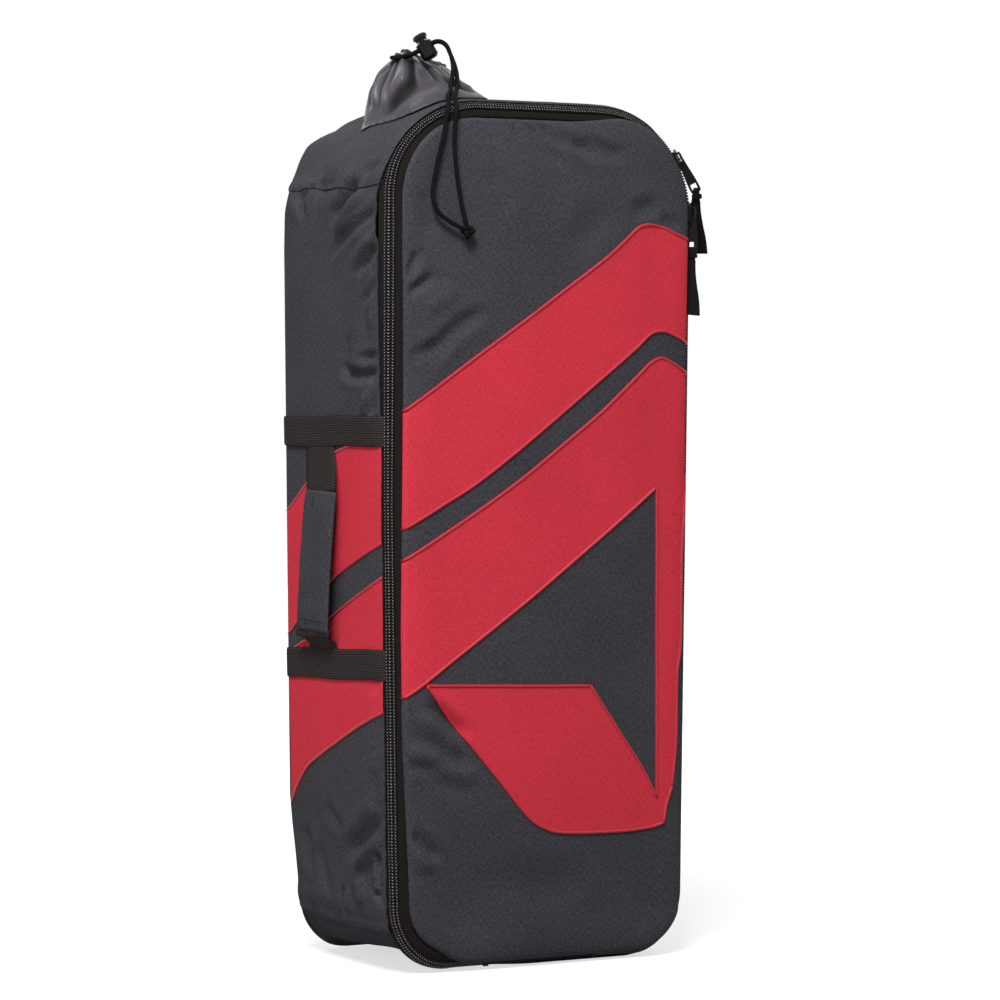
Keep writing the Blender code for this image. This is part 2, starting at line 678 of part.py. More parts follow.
def grip_path():
    """(height, stand-off, y) of the grip's middle line, nearest the side at its top."""
    steps = 5
    path = []
    for k in range(steps + 1):
        t = k / steps
        swell = 0.0012 * math.sin(math.pi * t)
        path.append((GRIP_TOP_Z + (GRIP_LOW_Z - GRIP_TOP_Z) * t,
                     GRIP_TOP_OUT + (GRIP_LOW_OUT - GRIP_TOP_OUT) * t + swell,
                     GRIP_TOP_Y + (GRIP_LOW_Y - GRIP_TOP_Y) * t))
    return path


def strap_solid(path, width, thickness, place):
    """Flat strap that follows (height, stand-off, y) points on the side."""
    rings = []
    for i, (z, out, middle) in enumerate(path):
        ahead = path[min(i + 1, len(path) - 1)]
        behind = path[max(i - 1, 0)]
        run = Vector((ahead[0] - behind[0], ahead[1] - behind[1])).normalized()
        across = Vector((-run.y, run.x)) * thickness / 2
        edge = thickness * 0.3
        ring = []
        for y, k in ((-width / 2, -0.4), (-width / 2 + edge, -1), (width / 2 - edge, -1),
                     (width / 2, -0.4), (width / 2, 0.4), (width / 2 - edge, 1),
                     (-width / 2 + edge, 1), (-width / 2, 0.4)):
            ring.append(place @ Vector((middle + y, z + across.x * k, out + across.y * k)))
        rings.append(ring)
    return loft(rings)


def left_side():
    """Red cloth, two webbing bands, and the padded grip on its webbing."""
    place = side_frame()
    for name, shape in SIDE_RED.items():
        add_node(name, prism(shape, FIT, RED_TOP, place), "red_fabric")
    half = BAND_WIDTH / 2
    for name, z in (("upper_side_band", UPPER_BAND_Z), ("lower_side_band", LOWER_BAND_Z)):
        band = block((SIDE_FRONT, z - half, BAND_LOW), (SIDE_BACK, z + half, BAND_TOP), place)
        add_node(name, band, "black_webbing")
    path = grip_path()
    grip_origin = place @ Vector(((GRIP_TOP_Y + GRIP_LOW_Y) / 2, (GRIP_TOP_Z + GRIP_LOW_Z) / 2, GRIP_TOP_OUT))
    grip = strap_solid(path, GRIP_WIDTH, GRIP_THICKNESS, place)
    add_node("handle_grip", grip, "slate_fabric", grip_origin)
    seat = BAND_LOW + WEBBING / 2
    top_end = UPPER_BAND_Z - half - FIT
    low_end = LOWER_BAND_Z + half + FIT
    upper = [(top_end, seat, HANDLE_TOP_Y), (top_end - 0.010, seat + 0.0005, HANDLE_TOP_Y - 0.0025),
             (GRIP_TOP_Z + 0.008, GRIP_TOP_OUT - 0.001, GRIP_TOP_Y + 0.0015),
             (GRIP_TOP_Z + 2 * FIT, GRIP_TOP_OUT, GRIP_TOP_Y)]
    lower = [(GRIP_LOW_Z - 4 * FIT, GRIP_LOW_OUT, GRIP_LOW_Y),
             (GRIP_LOW_Z - 0.0050, GRIP_LOW_OUT - 0.0030, GRIP_LOW_Y),
             (low_end + 0.0055, seat + 0.0035, HANDLE_LOW_Y), (low_end + 0.0030, seat + 0.0005, HANDLE_LOW_Y),
             (low_end, seat, HANDLE_LOW_Y)]
    for name, run in (("handle_webbing_upper", upper), ("handle_webbing_lower", lower)):
        strap = strap_solid(run, HANDLE_WIDTH, WEBBING, place)
        add_node(name, strap, "black_webbing")


# Tube collar and draw cord

COLLAR_PROFILE = ((1.00, 0.0), (0.99, 0.024), (0.93, 0.034), (0.78, 0.043), (0.58, 0.049),
                  (0.40, 0.0525), (0.27, 0.0545))


def collar_ring(level, inset):
    """One ring of the sleeve; folds deepen and the middle drifts back as it gathers."""
    share, rise = COLLAR_PROFILE[level]
    gathered = 1.0 - share
    ring = []
    for k in range(COLLAR_SIDES):
        a = 2 * math.pi * k / COLLAR_SIDES
        fold = 1.0 + 0.10 * gathered * math.cos(COLLAR_FOLDS * a)
        reach = COLLAR_RADIUS * share * fold - inset
        x = COLLAR_X + reach * math.cos(a)
        y = THROAT_Y * gathered + reach * math.sin(a)
        z = HEIGHT - COLLAR_SINK + rise - inset * gathered
        if level == 0:
            z = top_z(x) + FIT
        ring.append((x, y, z))
    return ring


def collar():
    """Gathered nylon sleeve over the hole in the top gusset, with its cord channel."""
    levels = range(len(COLLAR_PROFILE))
    outer = [collar_ring(level, 0.0) for level in levels]
    inner = [collar_ring(level, COLLAR_CLOTH) for level in reversed(levels)]
    add_node("collar_sleeve", loft(outer + inner, closed=True), "collar_nylon")
    sides, wires = 3 * COLLAR_FOLDS, 6
    seat = HEIGHT - COLLAR_SINK + COLLAR_PROFILE[-1][1] + FIT
    hem_z = seat + HEM_TUBE * math.sin(math.radians(60))
    rings = []
    for k in range(sides):
        a = 2 * math.pi * k / sides
        ripple = 0.0008 * math.cos(COLLAR_FOLDS * a)
        ring = []
        for j in range(wires):
            b = 2 * math.pi * j / wires
            reach = HEM_RADIUS + ripple + HEM_TUBE * math.cos(b)
            ring.append((COLLAR_X + reach * math.cos(a), THROAT_Y + reach * math.sin(a),
                         hem_z + HEM_TUBE * math.sin(b)))
        rings.append(ring)
    add_node("collar_hem", loft(rings, closed=True), "collar_nylon")


CORD_FRONT = [
    (-0.0807, 0.0053, 0.7588), (-0.0879, 0.0044, 0.7587), (-0.0946, 0.0006, 0.7576),
    (-0.0988, -0.0074, 0.7561), (-0.0976, -0.0163, 0.7555), (-0.0917, -0.0229, 0.7569),
    (-0.0862, -0.0262, 0.7598), (-0.0808, -0.0294, 0.7635), (-0.0748, -0.0329, 0.7675),
    (-0.0709, -0.0352, 0.7687), (-0.0671, -0.0375, 0.7675), (-0.0642, -0.0391, 0.7642),
    (-0.0629, -0.0406, 0.7597), (-0.0625, -0.0434, 0.7545), (-0.0638, -0.0480, 0.7470),
    (-0.0668, -0.0530, 0.7385), (-0.0716, -0.0585, 0.7303), (-0.0775, -0.0648, 0.7248),
    (-0.0840, -0.0722, 0.7222), (-0.0900, -0.0800, 0.7195), (-0.0950, -0.0888, 0.7143),
    (-0.0985, -0.0954, 0.7045), (-0.1004, -0.0972, 0.6930), (-0.1018, -0.0976, 0.6815),
    (-0.1040, -0.0980, 0.6690), (-0.1075, -0.0986, 0.6560), (-0.1108, -0.0994, 0.6420),
    (-0.1118, -0.1002, 0.6295), (-0.1075, -0.1011, 0.6185), (-0.0975, -0.1021, 0.6112),
    (-0.0860, -0.1032, 0.6057)]
CORD_REAR = [
    (-0.0782, 0.0021, 0.7590), (-0.0845, 0.0006, 0.7593), (-0.0905, -0.0016, 0.7584),
    (-0.0944, -0.0071, 0.7567), (-0.0940, -0.0140, 0.7558), (-0.0896, -0.0192, 0.7569),
    (-0.0841, -0.0226, 0.7598), (-0.0787, -0.0258, 0.7635), (-0.0727, -0.0293, 0.7675),
    (-0.0688, -0.0316, 0.7687), (-0.0650, -0.0339, 0.7675), (-0.0621, -0.0355, 0.7642),
    (-0.0607, -0.0370, 0.7597), (-0.0599, -0.0398, 0.7545), (-0.0601, -0.0452, 0.7470),
    (-0.0620, -0.0518, 0.7385), (-0.0652, -0.0580, 0.7302), (-0.0698, -0.0645, 0.7254),
    (-0.0748, -0.0715, 0.7238), (-0.0800, -0.0795, 0.7220), (-0.0846, -0.0885, 0.7165),
    (-0.0878, -0.0955, 0.7060), (-0.0900, -0.0974, 0.6920), (-0.0908, -0.0981, 0.6750),
    (-0.0900, -0.0987, 0.6610), (-0.0888, -0.0995, 0.6480), (-0.0873, -0.1005, 0.6360),
    (-0.0850, -0.1019, 0.6220), (-0.0822, -0.1033, 0.6088)]


def turned(profile, place, sides=16):
    """Solid of revolution from (radius, height) points about a local +Z axis."""
    rings = []
    for radius, height in profile:
        turns = [2 * math.pi * k / sides for k in range(sides)]
        rings.append([place @ Vector((radius * math.cos(a), radius * math.sin(a), height)) for a in turns])
    return loft(rings)


def lock_frame():
    """Axes of the cord lock: +X along the cords, +Z out of its button."""
    place = Matrix.Identity(4)
    for column, axis in enumerate((LOCK_EXIT, -LOCK_SIDE, LOCK_AXIS)):
        for row in range(3):
            place[row][column] = axis[row]
    place.translation = LOCK_CENTRE
    return place


BARREL_TOP = 0.0042
BARREL_LOW = -0.0110
BORE_LOW = -0.0092
PLUNGER_LOW = -0.0050


def cord_lock():
    """Spring-loaded lock: a bored barrel, a slotted plunger with its button, and the spring."""
    place = lock_frame()
    rounding = 0.0018
    barrel = turned(((LOCK_RADIUS - rounding, BARREL_LOW), (LOCK_RADIUS, BARREL_LOW + rounding),
                     (LOCK_RADIUS, BARREL_TOP - rounding / 2),
                     (LOCK_RADIUS - rounding / 2, BARREL_TOP)), place)
    barrel = boolean(barrel, turned(((LOCK_BORE, BORE_LOW), (LOCK_BORE, BARREL_TOP + rounding)), place),
                     "DIFFERENCE")
    reach = 2 * LOCK_RADIUS
    slot = block((-reach, -SLOT_HALF_WIDTH, -SLOT_HALF_HEIGHT), (reach, SLOT_HALF_WIDTH, SLOT_HALF_HEIGHT),
                 place)
    add_node("cord_lock_barrel", boolean(barrel, slot, "DIFFERENCE"), "lock_plastic", LOCK_CENTRE)
    head_low = BARREL_TOP + BUTTON_TRAVEL + FIT
    head_top = head_low + 0.0040
    button = turned(((PLUNGER_RADIUS, PLUNGER_LOW), (PLUNGER_RADIUS, head_low),
                     (BUTTON_RADIUS, head_low + 0.0002), (BUTTON_RADIUS, head_top - 0.0012),
                     (BUTTON_RADIUS - 0.0014, head_top)), place)
    slot_top = SLOT_HALF_HEIGHT + BUTTON_TRAVEL + FIT
    slot = block((-reach, -SLOT_HALF_WIDTH, -SLOT_HALF_HEIGHT), (reach, SLOT_HALF_WIDTH, slot_top), place)
    add_node("cord_lock_button", boolean(button, slot, "DIFFERENCE"), "lock_plastic", LOCK_CENTRE)
    turns, steps, wire = 3, 12, 0.00045
    low = BORE_LOW + FIT + wire
    high = PLUNGER_LOW - FIT - wire
    helix = []
    for k in range(turns * steps + 1):
        a = 2 * math.pi * k / steps
        rise = low + (high - low) * k / (turns * steps)
        helix.append(place @ Vector((0.0033 * math.cos(a), 0.0033 * math.sin(a), rise)))
    add_node("cord_lock_spring", tube(helix, wire, 5), "spring_steel", LOCK_CENTRE)


def draw_cord():
    """Both ends of the draw cord, through the lock and down to one knot."""
    add_node("draw_cord_front", tube(CORD_FRONT, CORD_RADIUS), "black_cord")
    add_node("draw_cord_rear", tube(CORD_REAR, CORD_RADIUS), "black_cord")
    bm = bmesh.new()
    bmesh.ops.create_icosphere(bm, subdivisions=2, radius=KNOT_RADIUS)
    bmesh.ops.translate(bm, verts=bm.verts, vec=KNOT_CENTRE)
    add_node("cord_knot", bm, "black_cord")


# Shoulder straps

def strap_point(share, side):
    """Middle of a shoulder pad from its seam at the yoke down to its buckle."""
    x = STRAP_TOP.x + (STRAP_LOW.x - STRAP_TOP.x) * share ** 1.5
    y = STRAP_TOP.y + (STRAP_LOW.y - STRAP_TOP.y) * share + STRAP_BULGE * math.sin(math.pi * share)
    z = STRAP_TOP.z + (STRAP_LOW.z - STRAP_TOP.z) * share
    return Vector((side * x, y, z))


def strip_frame(point, along):
    """Axes on a flat strip: +X level across the bag, -Y along the strip, +Z through it."""
    across = Vector((1.0, 0.0, 0.0))
    across = (across - along * across.dot(along)).normalized()
    place = Matrix.Identity(4)
    for column, axis in enumerate((across, -along, along.cross(across))):
        for row in range(3):
            place[row][column] = axis[row]
    place.translation = point
    return place


def flat_strip(points, width, thickness):
    """Flat strip along a path on the back, its width level across the bag."""
    rings = []
    for i, point in enumerate(points):
        along = (points[min(i + 1, len(points) - 1)] - points[max(i - 1, 0)]).normalized()
        place = strip_frame(point, along)
        ring = []
        for w, t in ((-1.0, -0.35), (-0.92, -1.0), (0.92, -1.0), (1.0, -0.35),
                     (1.0, 0.35), (0.92, 1.0), (-0.92, 1.0), (-1.0, 0.35)):
            ring.append(place @ Vector((w * width / 2, 0.0, t * thickness / 2)))
        rings.append(ring)
    return loft(rings)


def buckle(place):
    """Ladder lock: a flat frame with two webbing slots."""
    half_w, half_h, half_t = BUCKLE_WIDTH / 2, BUCKLE_HEIGHT / 2, BUCKLE_THICKNESS / 2
    bevel = 0.004
    outline = [(-half_w, -half_h + bevel), (-half_w + bevel, -half_h), (half_w - bevel, -half_h),
               (half_w, -half_h + bevel), (half_w, half_h - bevel), (half_w - bevel, half_h),
               (bevel - half_w, half_h), (-half_w, half_h - bevel)]
    frame = prism(outline, -half_t, half_t, place)
    for middle in (-0.0055, 0.0055):
        cut = block((-half_w + bevel, middle - 0.0028, -2 * half_t), (half_w - bevel, middle + 0.0028,
                                                                    2 * half_t), place)
        frame = boolean(frame, cut, "DIFFERENCE")
    return frame


def shoulder_straps():
    """Yoke, padded straps with ladder locks, and the webbing down to the base corners."""
    on_back = Matrix.Rotation(math.radians(90), 4, "X")
    reach = STRAP_TOP.x + STRAP_WIDTH / 2
    seam, shoulder, crest = STRAP_TOP.z + YOKE_SEAM, STRAP_TOP.z + 0.045, STRAP_TOP.z + 0.056
    yoke = [(-reach, seam), (reach, seam), (reach - 0.012, shoulder),
            (reach - 0.030, crest), (0.030 - reach, crest), (0.012 - reach, shoulder)]
    plate = prism(yoke, -BACK_Y - FIT - YOKE_THICKNESS, -BACK_Y - FIT, on_back)
    add_node("strap_yoke", plate, "slate_fabric")
    for name, side in (("left", -1), ("right", 1)):
        hinge = Vector((side * STRAP_TOP.x, STRAP_TOP.y, STRAP_TOP.z))
        path = [strap_point(k / 10, side) for k in range(11)]
        pad = flat_strip(path, STRAP_WIDTH, STRAP_THICKNESS)
        add_node(f"shoulder_pad_{name}", pad, "slate_fabric", hinge)
        along = (path[-1] - path[-2]).normalized()
        frame = strip_frame(path[-1] + along * (BUCKLE_HEIGHT / 2 + 2 * FIT), along)
        add_node(f"ladder_lock_{name}", buckle(frame), "lock_plastic", hinge)
        top = path[-1] + along * (BUCKLE_HEIGHT + 4 * FIT)
        foot = Vector((side * ANCHOR.x, BACK_Y + FIT + YOKE_THICKNESS / 2, ANCHOR.z + 0.014 + 2 * FIT))
        rise = Vector((0.0, 0.0, 0.015))
        run = [top, top + along * rise.z, top.lerp(foot, 0.5), foot + rise, foot]
        strip = flat_strip(run, BAND_WIDTH, WEBBING)
        add_node(f"strap_webbing_{name}", strip, "black_webbing")
        half = BAND_WIDTH / 2 + 0.003
        left, right, cut = side * ANCHOR.x - half, side * ANCHOR.x + half, 0.004
        low, high = ANCHOR.z - 0.018, ANCHOR.z + 0.014
        anchor = [(left, low), (right, low), (right, high - cut),
                  (right - cut, high), (left + cut, high), (left, high - cut)]
        tab = prism(anchor, -BACK_Y - FIT - YOKE_THICKNESS, -BACK_Y - FIT, on_back)
        add_node(f"strap_anchor_{name}", tab, "black_webbing")


def main():
    """Build every sub-part."""
    for old in list(bpy.data.objects):
        bpy.data.objects.remove(old, do_unlink=True)
    out, y = on_arc(EDGE_RADIUS, MIDWAY)
    cover = add_empty("cover_hinge", (0.0, y, -out))
    shell()
    zip_fastener(cover)
    cover_panels(cover)
    sliders()
    left_side()
    collar()
    cord_lock()
    draw_cord()
    shoulder_straps()


main()
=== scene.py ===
"""Dressed model of a tall zip-round equipment backpack: cloth, zip, webbing, collar, cords and straps.

Metres, in the solids' frame: +Z up, the zipped cover faces -Y, the shoulder straps face +Y.
"""
import json
import math
import random

import bmesh
import bpy
import numpy as np
from mathutils import Matrix, Vector
from mathutils.geometry import delaunay_2d_cdt


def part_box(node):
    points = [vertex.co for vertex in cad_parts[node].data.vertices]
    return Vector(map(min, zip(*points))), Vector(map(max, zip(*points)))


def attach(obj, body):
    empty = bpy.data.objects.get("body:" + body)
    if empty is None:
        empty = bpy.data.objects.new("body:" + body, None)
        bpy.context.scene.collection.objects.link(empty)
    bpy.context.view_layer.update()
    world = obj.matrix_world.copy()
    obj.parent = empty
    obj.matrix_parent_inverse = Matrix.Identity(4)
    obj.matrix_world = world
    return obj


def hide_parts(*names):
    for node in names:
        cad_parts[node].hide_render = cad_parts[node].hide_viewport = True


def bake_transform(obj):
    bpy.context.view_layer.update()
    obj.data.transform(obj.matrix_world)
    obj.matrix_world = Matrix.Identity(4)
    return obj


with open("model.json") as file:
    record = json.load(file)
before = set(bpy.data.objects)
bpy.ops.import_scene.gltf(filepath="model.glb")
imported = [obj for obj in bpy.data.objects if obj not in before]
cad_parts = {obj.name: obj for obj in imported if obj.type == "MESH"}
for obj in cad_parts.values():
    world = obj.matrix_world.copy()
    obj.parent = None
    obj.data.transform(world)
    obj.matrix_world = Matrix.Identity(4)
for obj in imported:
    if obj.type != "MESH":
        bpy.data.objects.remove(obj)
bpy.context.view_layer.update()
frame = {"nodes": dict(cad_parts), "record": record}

# Outline of the bag, as in the solids
HEIGHT = 0.720
TOP_WIDTH = 0.303
BASE_WIDTH = 0.286
DEPTH = 0.184
TOP_CORNER = 0.089
BASE_CORNER = 0.055
FRONT_Y = -DEPTH / 2
BACK_Y = DEPTH / 2
EDGE_RADIUS = 0.014
ZIP_CENTRE = 0.016
RIM_FRONT = FRONT_Y + ZIP_CENTRE
RIM_BACK = BACK_Y - 0.004
CROWN = 0.010
QUARTER = math.pi / 2
TOP_X = TOP_WIDTH / 2 - TOP_CORNER
TOP_Z = HEIGHT - TOP_CORNER
BASE_X = BASE_WIDTH / 2 - BASE_CORNER

# Camera, as the photograph was taken
AZIMUTH = math.radians(30.59)
ELEVATION = math.radians(-0.44)
ROLL = math.radians(0.118)
DISTANCE = 2.649
TARGET = Vector((0.011, 0.0, 0.3862))

# Sewing
CLOTH = 0.0014
PIPING = 0.0014
SEAM_HIGH = 0.648
SEAM_LOW = 0.0370


# Shader graphs

def graph(name):
    """A new material with its nodes, links and Principled shader."""
    made = bpy.data.materials.new(name)
    made.use_nodes = True
    tree = made.node_tree
    return made, tree, tree.nodes["Principled BSDF"]


def add(tree, kind, **values):
    """Add a shader node, setting inputs by name and the rest as attributes."""
    made = tree.nodes.new(f"ShaderNode{kind}")
    for key, value in values.items():
        if key in made.inputs:
            made.inputs[key].default_value = value
        else:
            setattr(made, key, value)
    return made


def mix(tree, factor, low, high):
    """Blend two colours by a linked factor."""
    made = add(tree, "Mix", data_type="RGBA")
    tree.links.new(factor, made.inputs[0])
    made.inputs[6].default_value = (*low, 1.0)
    made.inputs[7].default_value = (*high, 1.0)
    return made.outputs[2]


def math_node(tree, operation, first, second):
    """Combine two linked values, or a linked value and a number."""
    made = add(tree, "Math", operation=operation)
    tree.links.new(first, made.inputs[0])
    if isinstance(second, float):
        made.inputs[1].default_value = second
    else:
        tree.links.new(second, made.inputs[1])
    return made.outputs[0]


def ranged(tree, value, source=(0.0, 1.0), result=(0.0, 1.0), **options):
    """A linked value carried from one range to another."""
    made = add(tree, "MapRange", **options)
    for key, (low, high) in (("From", source), ("To", result)):
        made.inputs[f"{key} Min"].default_value = low
        made.inputs[f"{key} Max"].default_value = high
    tree.links.new(value, made.inputs["Value"])
    return made.outputs[0]


def shades(colour, spread):
    """A darker and a lighter shade of a colour."""
    return tuple(c * (1.0 - spread) for c in colour), tuple(min(1.0, c * (1.0 + spread)) for c in colour)


def stretched_noise(tree, place, scale, detail=2.0):
    """Noise drawn out along one axis, from a linked coordinate."""
    mapping = add(tree, "Mapping", Scale=scale)
    tree.links.new(place, mapping.inputs["Vector"])
    noise = add(tree, "TexNoise", Scale=1.0, Detail=detail)
    tree.links.new(mapping.outputs[0], noise.inputs["Vector"])
    return noise.outputs["Fac"]


def bands(tree, place, axis, pitch):
    """Even ridges across one axis of a linked coordinate."""
    wave = add(tree, "TexWave", wave_type="BANDS", bands_direction=axis, Scale=math.pi / (10 * pitch))
    tree.links.new(place, wave.inputs["Vector"])
    return wave.outputs["Fac"]


# Threads and spots for each metre, and the shares of flecks and worn patches in the tone
FLECK = (300.0, 1150.0)
PATCH = 14.0
FLECK_SHARE, PATCH_SHARE = 0.90, 0.24
TONE = (0.67, 1.37)
# Power of the painted shade in hollows, and the roughness there
PAINTED_SHADE_POWER, HOLLOW_ROUGH = 1.6, 0.95


def woven(name, colour, across=0.0007, along=0.0007, fleck=0.25, rough=0.85, relief=0.0002, gloss=0.03,
          rib=0.10, painted_hollow_shade=0.0):
    """Woven cloth: crossing threads, flecks, patches of wear; on satin, painted shade in hollows and folds
    and painted highlight on ridges.
    """
    made, tree, shader = graph(name)
    place = add(tree, "UVMap", uv_map="cloth").outputs[0]
    weft = bands(tree, place, "Y", along)
    threads = math_node(tree, "ADD", bands(tree, place, "X", across), weft)
    flecks = math_node(tree, "ADD", stretched_noise(tree, place, (*FLECK, 1.0)),
                       stretched_noise(tree, place, (*reversed(FLECK), 1.0)))
    worn = stretched_noise(tree, place, (PATCH, PATCH, 1.0), 4.0)
    tone = math_node(tree, "ADD", math_node(tree, "MULTIPLY", flecks, FLECK_SHARE),
                     math_node(tree, "MULTIPLY", worn, PATCH_SHARE))
    tone = math_node(tree, "ADD", tone, math_node(tree, "MULTIPLY", weft, rib))
    shade = mix(tree, ranged(tree, tone, [end + rib / 2 for end in TONE]), *shades(colour, fleck))
    shader.inputs["Roughness"].default_value = rough
    shader.inputs["Specular IOR Level"].default_value = gloss
    # Painted shade and highlight: ambient occlusion and the painted fold light scale the base colour, darker
    # in hollows and folds, lighter on fold ridges, and roughen it where it is dark
    if painted_hollow_shade:
        painted_shade = add(tree, "AmbientOcclusion", Distance=painted_hollow_shade).outputs["AO"]
        painted_fold_factor = add(tree, "Attribute", attribute_name="painted_fold_light").outputs["Fac"]
        painted_shade = math_node(tree, "MULTIPLY", math_node(tree, "POWER", painted_shade, PAINTED_SHADE_POWER), painted_fold_factor)
        scaled = add(tree, "VectorMath", operation="SCALE")
        tree.links.new(shade, scaled.inputs[0])
        tree.links.new(painted_shade, scaled.inputs["Scale"])
        shade = scaled.outputs[0]
        tree.links.new(ranged(tree, painted_shade, result=(HOLLOW_ROUGH, rough)), shader.inputs["Roughness"])
    tree.links.new(shade, shader.inputs["Base Color"])
    bump = add(tree, "Bump", Strength=0.6, Distance=relief)
    tree.links.new(math_node(tree, "ADD", threads, flecks), bump.inputs["Height"])
    tree.links.new(bump.outputs[0], shader.inputs["Normal"])
    return made


def moulded(name, colour, rough, metallic=0.0, grain=900.0, relief=0.00004, wear=0.25, gloss=0.5):
    """Moulded plastic or cast metal: fine grain and slightly uneven gloss."""
    made, tree, shader = graph(name)
    place = add(tree, "TexCoord").outputs["Object"]
    fine = stretched_noise(tree, place, (grain, grain, grain), 3.0)
    slow = stretched_noise(tree, place, (160.0, 160.0, 160.0), 2.0)
    tree.links.new(mix(tree, slow, *shades(colour, wear)), shader.inputs["Base Color"])
    uneven = ranged(tree, slow, result=(rough * 0.8, min(1.0, rough * 1.25)))
    tree.links.new(uneven, shader.inputs["Roughness"])
    shader.inputs["Specular IOR Level"].default_value = gloss
    bump = add(tree, "Bump", Strength=0.5, Distance=relief)
    tree.links.new(fine, bump.inputs["Height"])
    tree.links.new(bump.outputs[0], shader.inputs["Normal"])
    shader.inputs["Metallic"].default_value = metallic
    return made


SLATE = (0.0445, 0.0445, 0.0515)
RED = (0.535, 0.034, 0.054)
FINISH = {
    "slate_fabric": woven("slate_cloth", SLATE, fleck=0.56),
    "red_fabric": woven("red_cloth", RED, fleck=0.24),
    "red_piping": woven("red_edge", (0.410, 0.011, 0.026), across=0.0016, along=0.0009, fleck=0.10,
                        rough=0.42, gloss=0.30),
    "black_webbing": woven("black_webbing", (0.030, 0.0245, 0.0245), across=0.0009, along=0.0020, fleck=0.50,
                           relief=0.0006, rough=0.80, rib=0.45),
    "zip_tape": woven("zip_tape_cloth", (0.0135, 0.0108, 0.0108), across=0.0006, along=0.0009, fleck=0.3),
    "zip_coil": moulded("zip_coil_nylon", (0.0055, 0.0050, 0.0050), 0.50, gloss=0.12),
    # Light stitching over the zip's coil: partly its thread, partly a painted highlight of the coil's loops
    "zip_thread_and_painted_highlight": woven("zip_thread_and_painted_highlight", (0.300, 0.275, 0.265), fleck=0.3),
    # Satin of the collar, with painted shade in its hollows and folds and painted highlight on its ridges
    "collar_nylon": woven("collar_nylon_cloth", (0.041, 0.037, 0.044), across=0.0005, along=0.0005,
                          fleck=0.10, rough=0.36, relief=0.00004, gloss=0.24, painted_hollow_shade=0.030),
    "black_cord": woven("black_cord_braid", (0.0065, 0.0065, 0.0070), across=0.0011, along=0.0008, fleck=0.4,
                        relief=0.0003, gloss=0.04),
    "lock_plastic": moulded("lock_plastic_black", (0.0040, 0.0040, 0.0044), 0.30, gloss=0.14),
    "slider_metal": moulded("slider_metal_dark", (0.0050, 0.0048, 0.0050), 0.40, gloss=0.08),
    "spring_steel": moulded("spring_steel_wire", (0.55, 0.55, 0.56), 0.28, 1.0),
    "tag_rubber": woven("tag_ribbon", (0.0075, 0.0070, 0.0072), across=0.0008, along=0.0011, fleck=0.4,
                        relief=0.0003, gloss=0.06),
    "lining_cloth": woven("lining_cloth_dark", (0.030, 0.030, 0.033), across=0.0005, along=0.0005, fleck=0.2),
    "white_foam": moulded("foam_pale", (0.55, 0.55, 0.54), 0.95, 0.0, 700.0, 0.0003, 0.06),
    "stitch": woven("stitch_thread", (0.010, 0.0095, 0.011), fleck=0.2),
}


# Mesh helpers

def placed(name, data):
    """A new object in the scene."""
    obj = bpy.data.objects.new(name, data)
    bpy.context.collection.objects.link(obj)
    return obj


def piece(name, verts, faces, uvs=None, inner=None):
    """Smooth mesh object; with inner points it becomes a closed skin with a lined inside."""
    bm = bmesh.new()
    outer = [bm.verts.new(v) for v in verts]
    made = [bm.faces.new([outer[i] for i in face]) for face in faces]
    place = {vert: k for k, vert in enumerate(outer)}
    if inner is not None:
        border = [edge for edge in bm.edges if edge.is_boundary]
        back = [bm.verts.new(v) for v in inner]
        place.update({vert: k for k, vert in enumerate(back)})
        for face in made:
            lined = bm.faces.new([back[place[v]] for v in reversed(face.verts)])
            lined.material_index = 1
        for edge in border:
            edge.smooth = False
            a, b = edge.verts
            bm.faces.new((b, a, back[place[a]], back[place[b]]))
    bmesh.ops.recalc_face_normals(bm, faces=bm.faces)
    if uvs is not None:
        layer = bm.loops.layers.uv.new("cloth")
        for face in bm.faces:
            for loop in face.loops:
                loop[layer].uv = uvs[place[loop.vert]]
    for face in bm.faces:
        face.smooth = True
    mesh = bpy.data.meshes.new(name)
    bm.to_mesh(mesh)
    bm.free()
    return placed(name, mesh)


def dress(obj, body, finish, *nodes, inside=None, look=None):
    """Give a piece its material, its body and the solids that it stands for."""
    obj.data.materials.append(FINISH[look or finish])
    if inside:
        obj.data.materials.append(FINISH[inside])
    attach(obj, body)
    if nodes:
        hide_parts(*nodes)
    return obj


def dress_bending(obj, finish, first, last, *nodes):
    """Give cloth its material outside and inside, fix its place and hide the solids that it stands for; first
    and last are not used.
    """
    obj.data.materials.append(FINISH[finish])
    obj.data.materials.append(FINISH[finish])
    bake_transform(obj)
    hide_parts(*nodes)


def grid_faces(rows, columns, around=False):
    """Quads of a grid of points held row by row."""
    wrap = columns if around else columns - 1
    faces = []
    for r in range(rows - 1):
        for c in range(wrap):
            n = (c + 1) % columns
            faces.append((r * columns + c, r * columns + n, (r + 1) * columns + n, (r + 1) * columns + c))
    return faces


def capped_faces(rows, columns):
    """Quads of a tube held ring by ring, with its two end faces."""
    last = (rows - 1) * columns
    ends = [tuple(reversed(range(columns))), tuple(range(last, last + columns))]
    return grid_faces(rows, columns, around=True) + ends


def run_along(path):
    """Arc length at each point of a polyline."""
    return np.concatenate([[0], np.cumsum(np.linalg.norm(np.diff(path, axis=0), axis=1))])


def unit(vectors):
    """Rows of vectors scaled to length 1."""
    return vectors / np.linalg.norm(vectors, axis=-1)[..., None]


